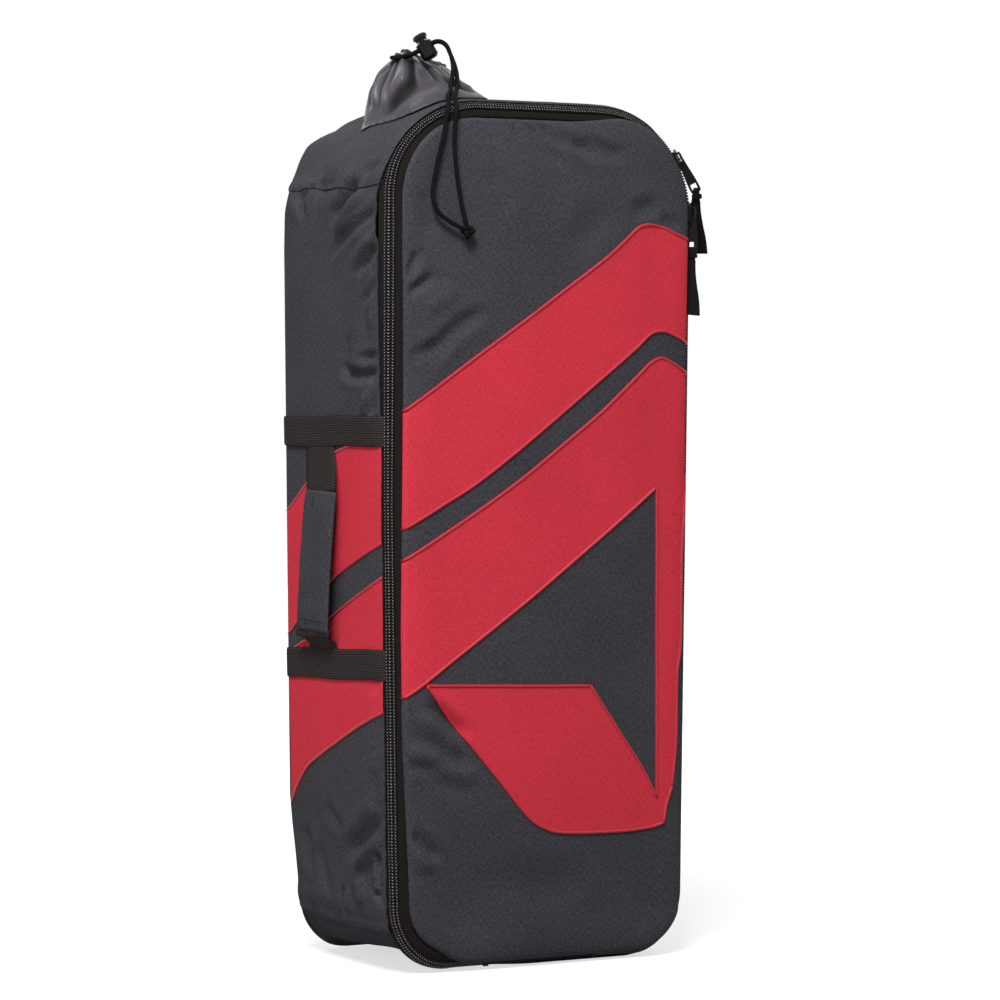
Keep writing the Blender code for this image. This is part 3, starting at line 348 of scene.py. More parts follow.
def curve_through(points, pitch):
    """Catmull-Rom curve through points, resampled at an even pitch."""
    p = np.array(points, float)
    padded = np.vstack([2 * p[0] - p[1], p, 2 * p[-1] - p[-2]])
    fine = []
    for i in range(len(p) - 1):
        p0, p1, p2, p3 = padded[i:i + 4]
        for t in np.linspace(0, 1, 16, endpoint=False):
            fine.append(0.5 * (2 * p1 + (p2 - p0) * t + (2 * p0 - 5 * p1 + 4 * p2 - p3) * t ** 2
                               + (3 * p1 - p0 - 3 * p2 + p3) * t ** 3))
    return resample(np.array(fine + [p[-1]]), pitch)


def resample(path, pitch):
    """Points at an even pitch along a polyline."""
    path = np.array(path, float)
    run = run_along(path)
    count = max(2, int(round(run[-1] / pitch)) + 1)
    at = np.linspace(0, run[-1], count)
    return np.stack([np.interp(at, run, path[:, k]) for k in range(path.shape[1])], axis=1)


def frames(path):
    """Tangent and two normals along a path, carried without twist."""
    tangent = unit(np.gradient(path, axis=0))
    normal = np.cross(tangent[0], (0.31, 0.27, 0.91))
    side = []
    for t in tangent:
        normal = unit(normal - t * np.dot(normal, t))
        side.append(normal)
    side = np.array(side)
    return tangent, side, np.cross(tangent, side)


def tube(name, path, radius, sides=8):
    """Round tube with capped ends; radius is one number or one for each point."""
    path = np.array(path, float)
    _, a, b = frames(path)
    radius = np.broadcast_to(np.asarray(radius, float), (len(path),))
    turn = np.linspace(0, 2 * math.pi, sides, endpoint=False)
    ring = np.cos(turn)[None, :, None] * a[:, None, :] + np.sin(turn)[None, :, None] * b[:, None, :]
    verts = (path[:, None, :] + ring * radius[:, None, None]).reshape(-1, 3)
    girth = 2 * math.pi * float(radius.mean())
    uvs = [(girth * k / sides, s) for s in run_along(path) for k in range(sides)]
    return piece(name, verts, capped_faces(len(path), sides), uvs)


def joined(name, parts):
    """One object from several made by the same helper."""
    bpy.ops.object.select_all(action="DESELECT")
    for part in parts:
        part.select_set(True)
    bpy.context.view_layer.objects.active = parts[0]
    bpy.ops.object.join()
    parts[0].name = name
    return parts[0]


def bell(distance, width):
    """Soft bump of a given width."""
    return np.exp(-(distance / width) ** 2)


def step(value, low, high):
    """Smooth step from 0 to 1."""
    t = np.clip((value - low) / (high - low), 0, 1)
    return t * t * (3 - 2 * t)


def table(pairs, at):
    """Value at a place, from pairs of place and value."""
    return np.interp(at, *zip(*pairs))


def folds(u, v, creases):
    """Sum of creases given in millimetres: a path, a width, and a height that is below 0 for a pinch."""
    total = np.zeros_like(u)
    for path, width, height in creases:
        width, height = width / 1000, height / 1000
        line = curve_through(np.array(path, float) / 1000, 2 * width)
        nearest, at, run = np.full(u.shape, np.inf), np.zeros_like(u), 0.0
        for a, b in zip(line[:-1], line[1:]):
            du, dv = b - a
            length = math.hypot(du, dv)
            t = np.clip(((u - a[0]) * du + (v - a[1]) * dv) / length ** 2, 0, 1)
            gap = np.hypot(u - a[0] - t * du, v - a[1] - t * dv)
            at = np.where(gap < nearest, run + t * length, at)
            nearest = np.minimum(nearest, gap)
            run += length
        profile = bell(nearest, width) - 0.35 * bell(nearest - 1.8 * width, 0.8 * width)
        total += height * profile * step(np.minimum(at, run - at) / run, 0.0, 0.3)
    return total


def ripple(u, v, seed, size, height):
    """Gentle unevenness of stretched cloth."""
    draw = random.Random(seed)
    total = np.zeros_like(u)
    waves = 7
    for _ in range(waves):
        angle = draw.uniform(0, math.pi)
        wave = size * draw.uniform(0.6, 1.6)
        phase = draw.uniform(0, 2 * math.pi)
        total += np.sin((u * math.cos(angle) + v * math.sin(angle)) * 2 * math.pi / wave + phase)
    return total * height / math.sqrt(waves)


STITCH = (0.0014, 0.0004)
STITCH_PITCH = 0.0036
BEAD_STEPS = ((1, 0, 0), (0, 1, 0), (-1, 0, 0), (0, -1, 0), (0, 0, 1), (0, 0, -1))
BEAD_FACES = [(0, 1, 4), (1, 2, 4), (2, 3, 4), (3, 0, 4), (1, 0, 5), (2, 1, 5), (3, 2, 5), (0, 3, 5)]


def repeated(name, shapes, faces):
    """One object from many copies of a small shape."""
    verts = np.vstack(shapes)
    size = len(shapes[0])
    every = [tuple(i + k * size for i in face) for k in range(len(shapes)) for face in faces]
    return piece(name, verts, every, verts[:, (0, 2)])


def stitches(name, paths, body, slot):
    """Rows of short stitches along paths."""
    shapes = []
    size = np.array((STITCH[0], STITCH[1], STITCH[1]))
    for path in paths:
        path = resample(path, STITCH_PITCH)
        for point, *axes in zip(path, *frames(path)):
            shapes.append(point + (np.array(BEAD_STEPS) * size) @ np.array(axes))
    dress(repeated(name, shapes, BEAD_FACES), body, slot, look="stitch")


# Outline of the bag: arc length, point and normal

CORNER_STATIONS = 61


def rim_table():
    """Stations round the outline from the middle of the base, anticlockwise from the front."""
    across, up = TOP_X - BASE_X, TOP_Z - BASE_CORNER
    slant = math.atan2(up, across) - math.acos((BASE_CORNER - TOP_CORNER) / math.hypot(across, up))
    corners = ((BASE_X, BASE_CORNER, BASE_CORNER, -QUARTER, slant),
               (TOP_X, TOP_Z, TOP_CORNER, slant, QUARTER),
               (-TOP_X, TOP_Z, TOP_CORNER, QUARTER, math.pi - slant),
               (-BASE_X, BASE_CORNER, BASE_CORNER, math.pi - slant, 3 * QUARTER))
    rows = [(0.0, 0.0, -QUARTER)]
    for x, z, radius, start, stop in corners:
        for a in np.linspace(start, stop, CORNER_STATIONS):
            rows.append((x + radius * math.cos(a), z + radius * math.sin(a), a))
    rows.append((0.0, 0.0, 3 * QUARTER))
    return np.array(rows)


RIM = rim_table()
RIM_RUN = np.concatenate([[0], np.cumsum(np.hypot(np.diff(RIM[:, 0]), np.diff(RIM[:, 1])))])
RIM_LENGTH = RIM_RUN[-1]


def rim(run, out=0.0):
    """Point (x, z) of the outline at an arc length, moved out along its normal."""
    run = np.mod(run, RIM_LENGTH)
    angle = np.interp(run, RIM_RUN, RIM[:, 2])
    x = np.interp(run, RIM_RUN, RIM[:, 0]) + out * np.cos(angle)
    z = np.interp(run, RIM_RUN, RIM[:, 1]) + out * np.sin(angle)
    return x, z


def run_at(z, side):
    """Arc length at a height on the right (1) or left (-1) half of the outline."""
    half = RIM[:, 0] * side > 0
    order = np.argsort(RIM[half, 1])
    return np.interp(z, RIM[half, 1][order], RIM_RUN[half][order])


def side_x(z):
    """Half width of the outline at a height."""
    return rim(run_at(z, 1))[0]


# Shell of the bag: sides, gussets and back

RIGHT_LOW, RIGHT_HIGH = run_at(SEAM_LOW, 1), run_at(SEAM_HIGH, 1)
LEFT_HIGH, LEFT_LOW = run_at(SEAM_HIGH, -1), run_at(SEAM_LOW, -1)
SHELL_PITCH = 0.0026
# Reach of the left side's cloth over the zip's tape, by height
CLOTH_REACH = ((0.40, 0.0035), (0.50, 0.0015), (0.56, 0.0008), (0.584, 0.0015), (0.600, -0.0020),
               (0.617, -0.0030), (0.632, -0.0010), (0.646, 0.0045), (0.665, 0.0062), (0.700, 0.0080))
SIDE_REACH = CLOTH_REACH[0][1]
LAP = 0.0030
LAP_LIFT = 0.0011
# Height of the seam under the top gusset, by depth
SEAM_WAVE = ((-0.096, 0.6435), (-0.079, 0.6445), (-0.055, 0.6430), (-0.037, 0.6435), (-0.008, 0.6470),
             (0.023, 0.6480), (0.042, 0.6525), (0.068, 0.6520), (0.088, 0.6535))
# How far the left rear edge is drawn in, by height
BACK_PULL = ((0.004, 0.0010), (0.013, 0.0030), (0.035, 0.0066), (0.050, 0.0062), (0.061, 0.0070),
             (0.085, 0.0048), (0.110, 0.0020), (0.135, 0.0), (0.600, 0.0), (0.631, 0.0010), (0.6465, 0.0028),
             (0.6686, 0.0035), (0.6906, 0.0003), (0.7096, 0.0055), (0.7187, 0.0010), (0.720, 0.0))
# Sinking of the zip's edge, from the middle of the top to the left
FRONT_SLUMP = ((-0.05, 0.0), (0.0, 0.0015), (0.03, 0.0025), (0.06, 0.0036), (0.085, 0.0043), (0.11, 0.0041),
               (0.14, 0.0032), (0.17, 0.0020), (0.20, 0.0010), (0.24, 0.0))
# Rise of the base behind the zip, from the back seam (0) to the zip (1)
BASE_TUCK = ((0.0, 0.0), (0.08, 0.0062), (0.35, 0.0095), (0.70, 0.0120), (0.93, 0.0110), (1.0, 0.0030))

# Creases of the left side and of the top's left corner: path (y, z), width and height
SIDE_FOLDS = [
    ([(-44, 650), (-20, 630), (0, 613)], 7.0, -7.2), ([(-62, 641), (-34, 624), (-4, 602)], 6.0, 3.2),
    ([(-86, 632), (-70, 619), (-35, 606), (4, 583)], 4.5, -3.8),
    ([(-94, 601), (-80, 592), (-66, 586), (-44, 566)], 5.0, -5.2),
    ([(-80, 565), (-70, 557), (-53, 544)], 4.0, -3.2), ([(-76, 606), (-56, 592), (-34, 574)], 5.5, 2.3),
    ([(-46, 499), (-55, 500), (-84, 503)], 4.0, -3.8),
    ([(-12, 500), (-20, 493), (-36, 488), (-57, 487), (-84, 492)], 5.0, -4.1),
    ([(-20, 486), (-26, 524)], 7.0, -2.3), ([(-44, 484), (-46, 540)], 9.0, 2.3),
    ([(-66, 520), (-69, 560)], 6.0, 2.3), ([(-32, 450), (-47, 470)], 3.0, -2.9),
    ([(-22, 450), (-34, 470)], 3.0, -2.2), ([(-63, 450), (-72, 472)], 4.0, -3.5),
    ([(-70, 484), (-51, 453)], 6.0, 3.8), ([(60, 640), (34, 652)], 3.5, -2.6),
    ([(76, 652), (58, 636), (50, 618)], 6.0, -2.9), ([(-52, 648), (-70, 662)], 4.5, -3.8),
    ([(-98, 670), (-86, 658), (-74, 646)], 5.0, 2.9), ([(24, 648), (8, 660), (-6, 676)], 6.0, 2.3),
    ([(46, 654), (30, 668)], 5.0, -2.3), ([(-9, 68), (-8, 40)], 3.2, -5.2),
    ([(-65, 104), (-68, 94), (-71, 67), (-72, 56)], 3.2, -7.2),
    ([(-58, 74), (-63, 66), (-94, 49)], 3.0, -4.9), ([(-87, 106), (-87, 88)], 3.0, -3.5),
    ([(-72, 130), (-59, 120), (-25, 94), (-16, 86)], 9.0, -5.2),
    ([(-94, 121), (-81, 114), (-34, 87), (-24, 81)], 7.0, 4.6),
    ([(22, 133), (13, 127), (-6, 115), (-14, 109)], 6.0, -2.0), ([(-63, 168), (-63, 130)], 7.0, -1.9),
    ([(-36, 78), (-44, 52)], 9.0, 3.8), ([(40, 100), (26, 74), (18, 52)], 9.0, -2.9),
    ([(64, 112), (52, 66)], 10.0, -3.5)]
SIDE_SWELL, GUSSET_SWELL = 0.0026, 0.0030
# Middle of the red and webbed part of the sides, where the cloth is held flat, and where its folds start
CALM_Z, CALM = 0.345, (0.085, 0.125)
CALM_SHARE = 0.35
RIGHT_FOLDS = 0.6
# Dent behind the top's left corner: a point on its rim, the way that it runs, and its depth
DENT_AT, DENT_WAY, DENT = (-0.011, 0.694), (0.82, 0.574), 0.0062
LEFT_CORNER = (0.085, 0.125)
TOP_SEWN, BASE_SEWN = 0.009, 0.006


def seam_z(y):
    """Height of the wavy seam under the top gusset."""
    return table(SEAM_WAVE, y)


def front_slump(run):
    """How far the zip's edge sinks round the left top corner."""
    return table(FRONT_SLUMP, run - RIM_LENGTH / 2)


def settle(run, y):
    """How far the cloth sinks behind its outline: over the zip tape, at the slack corner and at the back."""
    share = depth_share(y)
    return over_tape(y) + back_pull(run) * share ** 3 + front_slump(run) * (1 - share) ** 1.5


def back_pull(run):
    """How far the left rear edge is drawn in, where the empty bag slumps."""
    x, z = rim(run)
    return table(BACK_PULL, z) * (x < 0)


def depth_share(y):
    """0 at the zip and 1 at the back seam."""
    return np.clip((y - RIM_FRONT) / (RIM_BACK - RIM_FRONT), 0, 1)


def seam_puckers(along, away, seed, count, span):
    """Short creases that run out of a seam."""
    draw = random.Random(seed)
    creases = []
    for _ in range(count):
        start = 1000 * draw.uniform(*span)
        lean, reach = draw.uniform(-10, 10), draw.uniform(10, 24)
        creases.append(([(start - lean / 2, -reach / 2), (start + lean, reach)], draw.uniform(2.2, 4.0),
                        draw.choice((-1, 1)) * draw.uniform(0.5, 1.2)))
    return folds(along, away, creases)


def held_front(y):
    """Folds die out where the cloth is sewn to the zip."""
    return 0.10 + 0.90 * step(y - RIM_FRONT, -0.003, 0.011)


def swelling(y, height):
    """Swell of the cloth between the zip and the back seam."""
    return height * np.sin(math.pi * depth_share(y)) ** 0.6


def side_relief(y, z, left):
    """How far a side's cloth stands off its solid."""
    top, low = seam_z(y) - z, z - SEAM_LOW
    swell = swelling(y, SIDE_SWELL) * (1 - 0.8 * bell(top, 0.010)) * (1 - 0.8 * bell(low, 0.010))
    relief = swell + ripple(y, z, 3 if left else 4, 0.09, 0.0006)
    relief += seam_puckers(y, top, 5, 12, (RIM_FRONT, RIM_BACK))
    relief += seam_puckers(y, low, 6, 9, (RIM_FRONT, RIM_BACK))
    relief += seam_puckers(z, y - RIM_FRONT, 7, 30, (SEAM_LOW, SEAM_HIGH))
    loose = step(np.abs(z - CALM_Z), *CALM)
    creased = folds(y, z, SIDE_FOLDS) * (1.0 if left else RIGHT_FOLDS)
    relief = (relief * (CALM_SHARE + (1 - CALM_SHARE) * loose) + creased * loose) * held_front(y)
    return relief + LAP_LIFT * bell(np.minimum(low, 0.0), 0.004) * (low < LAP)


def beside_relief(run, y):
    """Stand-off of the side that a gusset is sewn to."""
    x, z = rim(run)
    return np.where(x < 0, side_relief(y, z, True), side_relief(y, z, False))


def top_relief(run, y):
    """Stand-off of the top gusset, whose ends are lapped over the sides and whose left end is dented."""
    x, z = rim(run)
    drop = seam_z(y) - SEAM_HIGH
    ends = np.minimum(np.abs(run - RIGHT_HIGH - drop), np.abs(run - LEFT_HIGH + drop))
    swell = swelling(y, GUSSET_SWELL) + ripple(run, y, 11, 0.08, 0.0008)
    swell += folds(y, z, SIDE_FOLDS) * (x < 0)
    behind = (y - DENT_AT[0]) * DENT_WAY[0] + (z - DENT_AT[1]) * DENT_WAY[1]
    dent = step(behind, -0.004, 0.020) * (1 - step(behind, 0.05, 0.10)) * step(-x, *LEFT_CORNER)
    swell -= DENT * dent * (1 - depth_share(y) ** 6)
    swell *= held_front(y)
    sewn = bell(ends, TOP_SEWN)
    return swell * (1 - sewn) + (beside_relief(run, y) + LAP_LIFT) * sewn


def base_relief(run, y):
    """The base is pressed flat by the floor, slack at its corners and drawn up behind the zip on the left."""
    x = rim(run)[0]
    away = np.minimum(np.abs(run - LEFT_LOW), np.abs(run - RIGHT_LOW - RIM_LENGTH))
    swell = swelling(y, GUSSET_SWELL) + ripple(run, y, 21, 0.08, 0.0007)
    swell = (swell + seam_puckers(y, away, 22, 12, (RIM_FRONT, RIM_BACK))) * step(np.abs(x), *LEFT_CORNER)
    tuck = table(BASE_TUCK, 1 - depth_share(y)) * step(-x, 0.0, 0.07)
    sewn = bell(away, BASE_SEWN)
    return (swell - tuck * step(away, 0.0, BASE_SEWN)) * (1 - sewn) + (beside_relief(run, y) - CLOTH) * sewn


def over_tape(y):
    """Fall of the cloth's front edge where it reaches over the zip's tape."""
    return np.maximum(0.0, RIM_FRONT - y) ** 2 / (2 * EDGE_RADIUS)


def band_cloth(name, start, stop, relief, reach):
    """Cloth wrapped round the outline between two seams, from the zip tape to the back seam."""
    columns = int((RIM_BACK - RIM_FRONT) / SHELL_PITCH) + 1
    flat = np.linspace(RIM_FRONT, RIM_BACK, columns)
    first, last = start(flat), stop(flat)
    rows = int((last - first).max() / SHELL_PITCH) + 1
    run = first + (last - first) * np.linspace(0, 1, rows)[:, None]
    share = depth_share(flat)
    front = RIM_FRONT - reach(run)
    y = front + (RIM_BACK - front) * share
    out = relief(run, y) - settle(run, y)
    layers = []
    for depth in (0.0, CLOTH):
        x, z = rim(run, out - depth)
        layers.append(np.stack([x, y, z], axis=-1).reshape(-1, 3))
    uvs = np.stack([y, run], axis=-1).reshape(-1, 2)
    return piece(name, layers[0], grid_faces(rows, columns), uvs, layers[1])


def left_out(y, z):
    """Outer x of the left side's cloth."""
    return -side_x(z) - side_relief(y, z, True) + settle(run_at(z, -1), y)


def cloth_reach(run):
    """How far the cloth reaches over the zip's tape; on the right only along the top."""
    x, z = rim(run)
    top = CLOTH_REACH[-1][1] * step(z, 0.690, 0.715)
    return np.where(x < 0, table(CLOTH_REACH, z), top)


def shell():
    """Sides, top and base."""
    def right_seam(y):
        return RIGHT_HIGH + seam_z(y) - SEAM_HIGH

    def left_seam(y):
        return LEFT_HIGH - seam_z(y) + SEAM_HIGH

    cloths = (
        ("right_side", lambda y: RIGHT_LOW - LAP + 0 * y, right_seam,
         lambda run, y: side_relief(y, rim(run)[1], False), cloth_reach, "right_side_panel"),
        ("left_side", left_seam, lambda y: LEFT_LOW + LAP + 0 * y,
         lambda run, y: side_relief(y, rim(run)[1], True), cloth_reach, "left_side_panel"),
        ("top_gusset", lambda y: right_seam(y) - LAP, lambda y: left_seam(y) + LAP,
         top_relief, cloth_reach, "top_gusset"),
        ("base_gusset", lambda y: LEFT_LOW + 0 * y, lambda y: RIGHT_LOW + RIM_LENGTH + 0 * y,
         base_relief, lambda run: 0.0 * run, "base_gusset"))
    for name, start, stop, relief, reach, node in cloths:
        made = band_cloth(f"{name}_cloth", start, stop, relief, reach)
        dress(made, "case", "slate_fabric", node, inside="lining_cloth")


shell()


# Flat panels: cover, back, linings and foam

PANEL_RINGS = (0.0, 0.0006, 0.0015, 0.0028, 0.0045, 0.007, 0.010, 0.014)
PANEL_PITCH = 0.0036
COVER_INSET = 0.0172
COVER_OVER = 0.0090
LEFT_INSET = ((0.04, 0.0172), (0.11, 0.0146), (0.195, 0.0114), (0.28, 0.0114), (0.40, 0.0142), (0.55, 0.0168),
              (0.64, 0.0160), (0.70, 0.0150))
COVER_MIDDLE = (0.1352, 0.36, 0.3437)


def over_zip(x, z):
    """Share by which the cover's cloth is drawn over the zip: right, base and some of the left."""
    left = (COVER_INSET - table(LEFT_INSET, z)) / COVER_OVER * step(-x, 0.06, 0.12)
    base = 1.25 * step(x, -0.112, -0.066) * (1 - step(z, 0.03, 0.08))
    return np.maximum(np.maximum(left, base), step(x, 0.02, 0.115))


def cover_inset(run):
    """How far inside the outline the cover's cloth ends."""
    return COVER_INSET + front_slump(run) - COVER_OVER * over_zip(*rim(run))


def inset_outline(inset, pitch, deeper=0.0):
    """Points of an outline set in from the rim."""
    run = np.linspace(0, RIM_LENGTH, int(RIM_LENGTH / pitch), endpoint=False)
    inwards = inset(run) if callable(inset) else np.full_like(run, inset)
    return np.stack(rim(run, -(inwards + deeper)), axis=1)


def distance_to(points, outline, closed=True):
    """Distance of each point from a polyline."""
    ends = np.roll(outline, -1, axis=0) if closed else outline[1:]
    starts = outline if closed else outline[:-1]
    best = np.full(len(points), np.inf)
    for a, b in zip(starts, ends):
        ab = b - a
        t = np.clip((points - a) @ ab / max(float(ab @ ab), 1e-12), 0, 1)
        best = np.minimum(best, np.linalg.norm(points - a - t[:, None] * ab, axis=1))
    return best


def inside(points, outline):
    """Which points lie inside a closed polyline."""
    hit = np.zeros(len(points), bool)
    x, z = points[:, 0], points[:, 1]
    for (x0, z0), (x1, z1) in zip(outline, np.roll(outline, -1, axis=0)):
        if z0 == z1:
            continue
        cross = (z0 > z) != (z1 > z)
        hit ^= cross & (x < (x1 - x0) * (z - z0) / (z1 - z0) + x0)
    return hit


def lattice(low, high, pitch):
    """Staggered grid of points over a box."""
    rows = np.arange(low[1], high[1], pitch * 0.866)
    columns = np.arange(low[0], high[0], pitch)
    return np.array([(x + (r % 2) * pitch / 2, z) for r, z in enumerate(rows) for x in columns])


def loose_points(outline, pitch, margin):
    """Staggered points inside an outline, at least a margin from it."""
    loose = lattice(outline.min(axis=0), outline.max(axis=0), pitch)
    loose = loose[inside(loose, outline)]
    return loose[distance_to(loose, outline) > margin]


def triangulated(outline, seams, loose, pitch):
    """Triangles inside an outline that keep its seams as edges: points and faces."""
    for seam in seams:
        loose = loose[distance_to(loose, seam, closed=False) > 0.45 * pitch]
    blocks = [outline, *seams, loose]
    edges = [(k, (k + 1) % len(outline)) for k in range(len(outline))]
    first = len(outline)
    for seam in seams:
        edges += [(first + k, first + k + 1) for k in range(len(seam) - 1)]
        first += len(seam)
    found = delaunay_2d_cdt([Vector(p) for p in np.vstack(blocks)], edges, [], 1, 1e-6)
    return np.array([tuple(v) for v in found[0]]), [tuple(face) for face in found[2]]


def panel_mesh(inset, pitch=PANEL_PITCH, seams=()):
    """Points, faces and distance to the edge of a panel over the whole outline."""
    outline = inset_outline(inset, pitch)
    rings = [inset_outline(inset, pitch, deeper) for deeper in PANEL_RINGS[1:]]
    loose = loose_points(outline, pitch, PANEL_RINGS[-1] + 0.7 * pitch)
    points, faces = triangulated(outline, seams, np.vstack(rings + [loose]), pitch)
    return points, faces, distance_to(points, outline)


def used_points(faces):
    """Which points some faces use, and the faces over those alone."""
    used = sorted({i for face in faces for i in face})
    place = {old: new for new, old in enumerate(used)}
    return used, [tuple(place[i] for i in face) for face in faces]


def panel_piece(name, points, faces, y, thickness=CLOTH):
    """Closed cloth over some of a panel's faces."""
    used, faces = used_points(faces)
    outer = np.stack([points[used, 0], y[used], points[used, 1]], axis=1)
    return piece(name, outer, faces, points[used], outer + np.array((0.0, thickness, 0.0)))


def crown(x, z):
    """Forward swell of the cover."""
    half, middle, rise = COVER_MIDDLE
    return CROWN * (1 - (np.abs(x) / half) ** 2) * (1 - (np.abs(z - middle) / rise) ** 4)


def roll(edge, radius):
    """Fall of a rolled edge."""
    return radius - np.sqrt(np.maximum(0.0, radius ** 2 - np.maximum(0.0, radius - edge) ** 2))


# Creases of the cover: path (x, z), width and height
COVER_FOLDS = [
    ([(-12, 706), (3, 688), (20, 679)], 4.0, -3.0), ([(-20, 706), (-3, 680), (17, 657)], 3.4, -2.4),
    ([(8, 694), (16, 689), (49, 670), (58, 665)], 4.5, -3.2),
    ([(24, 690), (31, 685), (65, 677), (80, 672)], 6.0, -3.2),
    ([(-42, 706), (-29, 691), (-24, 684)], 3.5, -2.2), ([(-30, 706), (-13, 689), (-8, 684)], 3.5, -2.2),
    ([(-134, 562), (-128, 573), (-119, 590)], 4.0, -3.0),
    ([(-138, 546), (-130, 552), (-113, 564), (-104, 570)], 4.0, -3.0),
    ([(-56, 543), (-62, 540), (-88, 525), (-107, 506), (-122, 488)], 6.0, -3.2),
    ([(-104, 515), (-110, 511), (-132, 497)], 4.5, -2.6), ([(-120, 540), (-100, 548), (-84, 556)], 8.0, 1.9),
    ([(80, 628), (86, 630), (106, 635), (112, 637)], 7.0, -2.4),
    ([(112, 626), (116, 624), (132, 618)], 5.0, -2.2),
    ([(-122, 217), (-114, 209), (-90, 181), (-82, 172)], 7.0, 3.8),
    ([(-118, 223), (-111, 218), (-82, 196), (-74, 190)], 6.0, -3.8),
    ([(-136, 184), (-126, 181), (-106, 175), (-98, 172)], 6.0, 3.8),
    ([(-112, 172), (-106, 170), (-75, 159), (-66, 156)], 7.0, 3.0),
    ([(-138, 113), (-130, 106), (-110, 87), (-104, 81)], 6.0, 4.1),
    ([(-128, 118), (-123, 113), (-108, 97), (-102, 90)], 6.0, -3.5),
    ([(-138, 168), (-127, 159), (-122, 155)], 5.0, 2.7), ([(-70, 84), (-10, 66), (50, 74)], 16.0, -2.2),
    ([(-120, 640), (-112, 612), (-108, 596)], 8.0, -1.9), ([(-60, 660), (-40, 640), (-34, 620)], 12.0, -1.6),
    ([(60, 640), (40, 610), (10, 590)], 14.0, -1.6)]
EDGE_ROLL = 0.0034
EDGE_FALL = 0.0040
EDGE_SOFT = 0.034
OVER_LIFT = 0.0056
COVER_RIM = inset_outline(cover_inset, 0.004)


def cover_y(x, z, edge):
    """Front face of the cover's cloth."""
    y = FRONT_Y - crown(x, z) - 0.0010 * (1 - bell(edge, 0.012))
    y -= OVER_LIFT * over_zip(x, z) * bell(edge, 0.022)
    y += roll(edge, EDGE_ROLL) + EDGE_FALL * over_zip(x, z) * np.maximum(0.0, 1 - edge / EDGE_SOFT) ** 2
    y -= ripple(x, z, 31, 0.16, 0.0006) * step(edge, 0.0, 0.03)
    y -= folds(x, z, COVER_FOLDS) * (0.15 + 0.85 * step(edge, 0.0, 0.010))
    return y


def cover_point(points, lift):
    """Points of the cover's front face, moved out by a lift."""
    x, z = points[:, 0], points[:, 1]
    return np.stack([x, cover_y(x, z, distance_to(points, COVER_RIM)) - lift, z], axis=1)


# Red cloth: patches with a corded edge

RED_LIFT = 0.0006
RED_PITCH = 0.0045


def cover_edge(z, side, out=0.0):
    """Point of the cover's edge at a height, or beyond it."""
    inset = cover_inset(np.array([run_at(z, side)]))[0]
    return (side * (side_x(z) - inset + out), z)


UPPER_TOP = [cover_edge(0.4565, -1), (-0.070, 0.5025), (-0.010, 0.5438), (0.050, 0.585), (0.0699, 0.6006),
             (0.0799, 0.6091), (0.0869, 0.6149), (0.0949, 0.6183), (0.1051, 0.6184), (0.1152, 0.6168),
             (0.1254, 0.613), cover_edge(0.6083, 1)]
UPPER_LOW = [cover_edge(0.5199, 1), (0.1250, 0.5265), (0.1133, 0.5294), (0.1002, 0.5264), (0.0851, 0.5141),
             (0.047, 0.4855), (0.009, 0.457), (-0.0638, 0.4032), (-0.100, 0.3810), cover_edge(0.3610, -1)]
LOWER_TOP = [cover_edge(0.3355, -1), (-0.075, 0.3720), (-0.0276, 0.4035), (0.010, 0.4306), (0.0473, 0.4577),
             (0.0737, 0.4798), (0.0900, 0.4935), (0.1002, 0.5019), (0.1114, 0.5064), (0.1236, 0.5025),
             cover_edge(0.4940, 1)]
LOWER_RIGHT = [cover_edge(0.4100, 1), (0.1345, 0.340), (0.1332, 0.2674), (0.1292, 0.2378), (0.1278, 0.181),
               (0.1233, 0.1438)]
LOWER_POST = [(0.1075, 0.1352), (0.1070, 0.397)]
LOWER_LOW = [(0.1070, 0.397), (0.033, 0.3437), (-0.041, 0.2903), (-0.1158, 0.2370), cover_edge(0.2245, -1)]
BLOCK_TOP = [(-0.1150, 0.2345), (-0.040, 0.2328), (0.0389, 0.2310)]
BLOCK_RIGHT = [(0.0389, 0.2310), (0.0660, 0.1945), (0.0929, 0.1594), (0.1075, 0.1352)]
BLOCK_TIP = [(0.1233, 0.1438), (0.1172, 0.1272), (0.1152, 0.1137)]
BLOCK_LOW = [(0.1152, 0.1137), (0.101, 0.1102), (0.0659, 0.1085), (0.0127, 0.1103), (-0.0106, 0.1172),
             (-0.026, 0.1294), (-0.0450, 0.1515), (-0.0642, 0.1736), (-0.090, 0.2040), (-0.1150, 0.2345)]
PAST = 0.02


def past_edge(first, last, side):
    """Two points beyond the cover's edge, at the heights of two that lie on it."""
    return [cover_edge(first[1], side, PAST), cover_edge(last[1], side, PAST)]


RED_SEAMS = {"upper": [UPPER_TOP, UPPER_LOW], "lower": [LOWER_TOP, LOWER_RIGHT, LOWER_POST, LOWER_LOW],
             "block": [BLOCK_TOP, BLOCK_RIGHT, BLOCK_TIP, BLOCK_LOW]}
RED_SHAPES = {
    "upper": [UPPER_TOP, past_edge(UPPER_TOP[-1], UPPER_LOW[0], 1), UPPER_LOW,
              past_edge(UPPER_LOW[-1], UPPER_TOP[0], -1)],
    "lower": [LOWER_TOP, past_edge(LOWER_TOP[-1], LOWER_RIGHT[0], 1), LOWER_RIGHT, LOWER_POST, LOWER_LOW,
              past_edge(LOWER_LOW[-1], LOWER_TOP[0], -1)],
    "block": RED_SEAMS["block"]}
BLOCK_SEAM = [(0.1075, 0.1352), (0.1233, 0.1438)]
RED_NODES = {"upper": "cover_red_band_upper", "lower": "cover_red_band_lower", "block": "cover_red_block"}


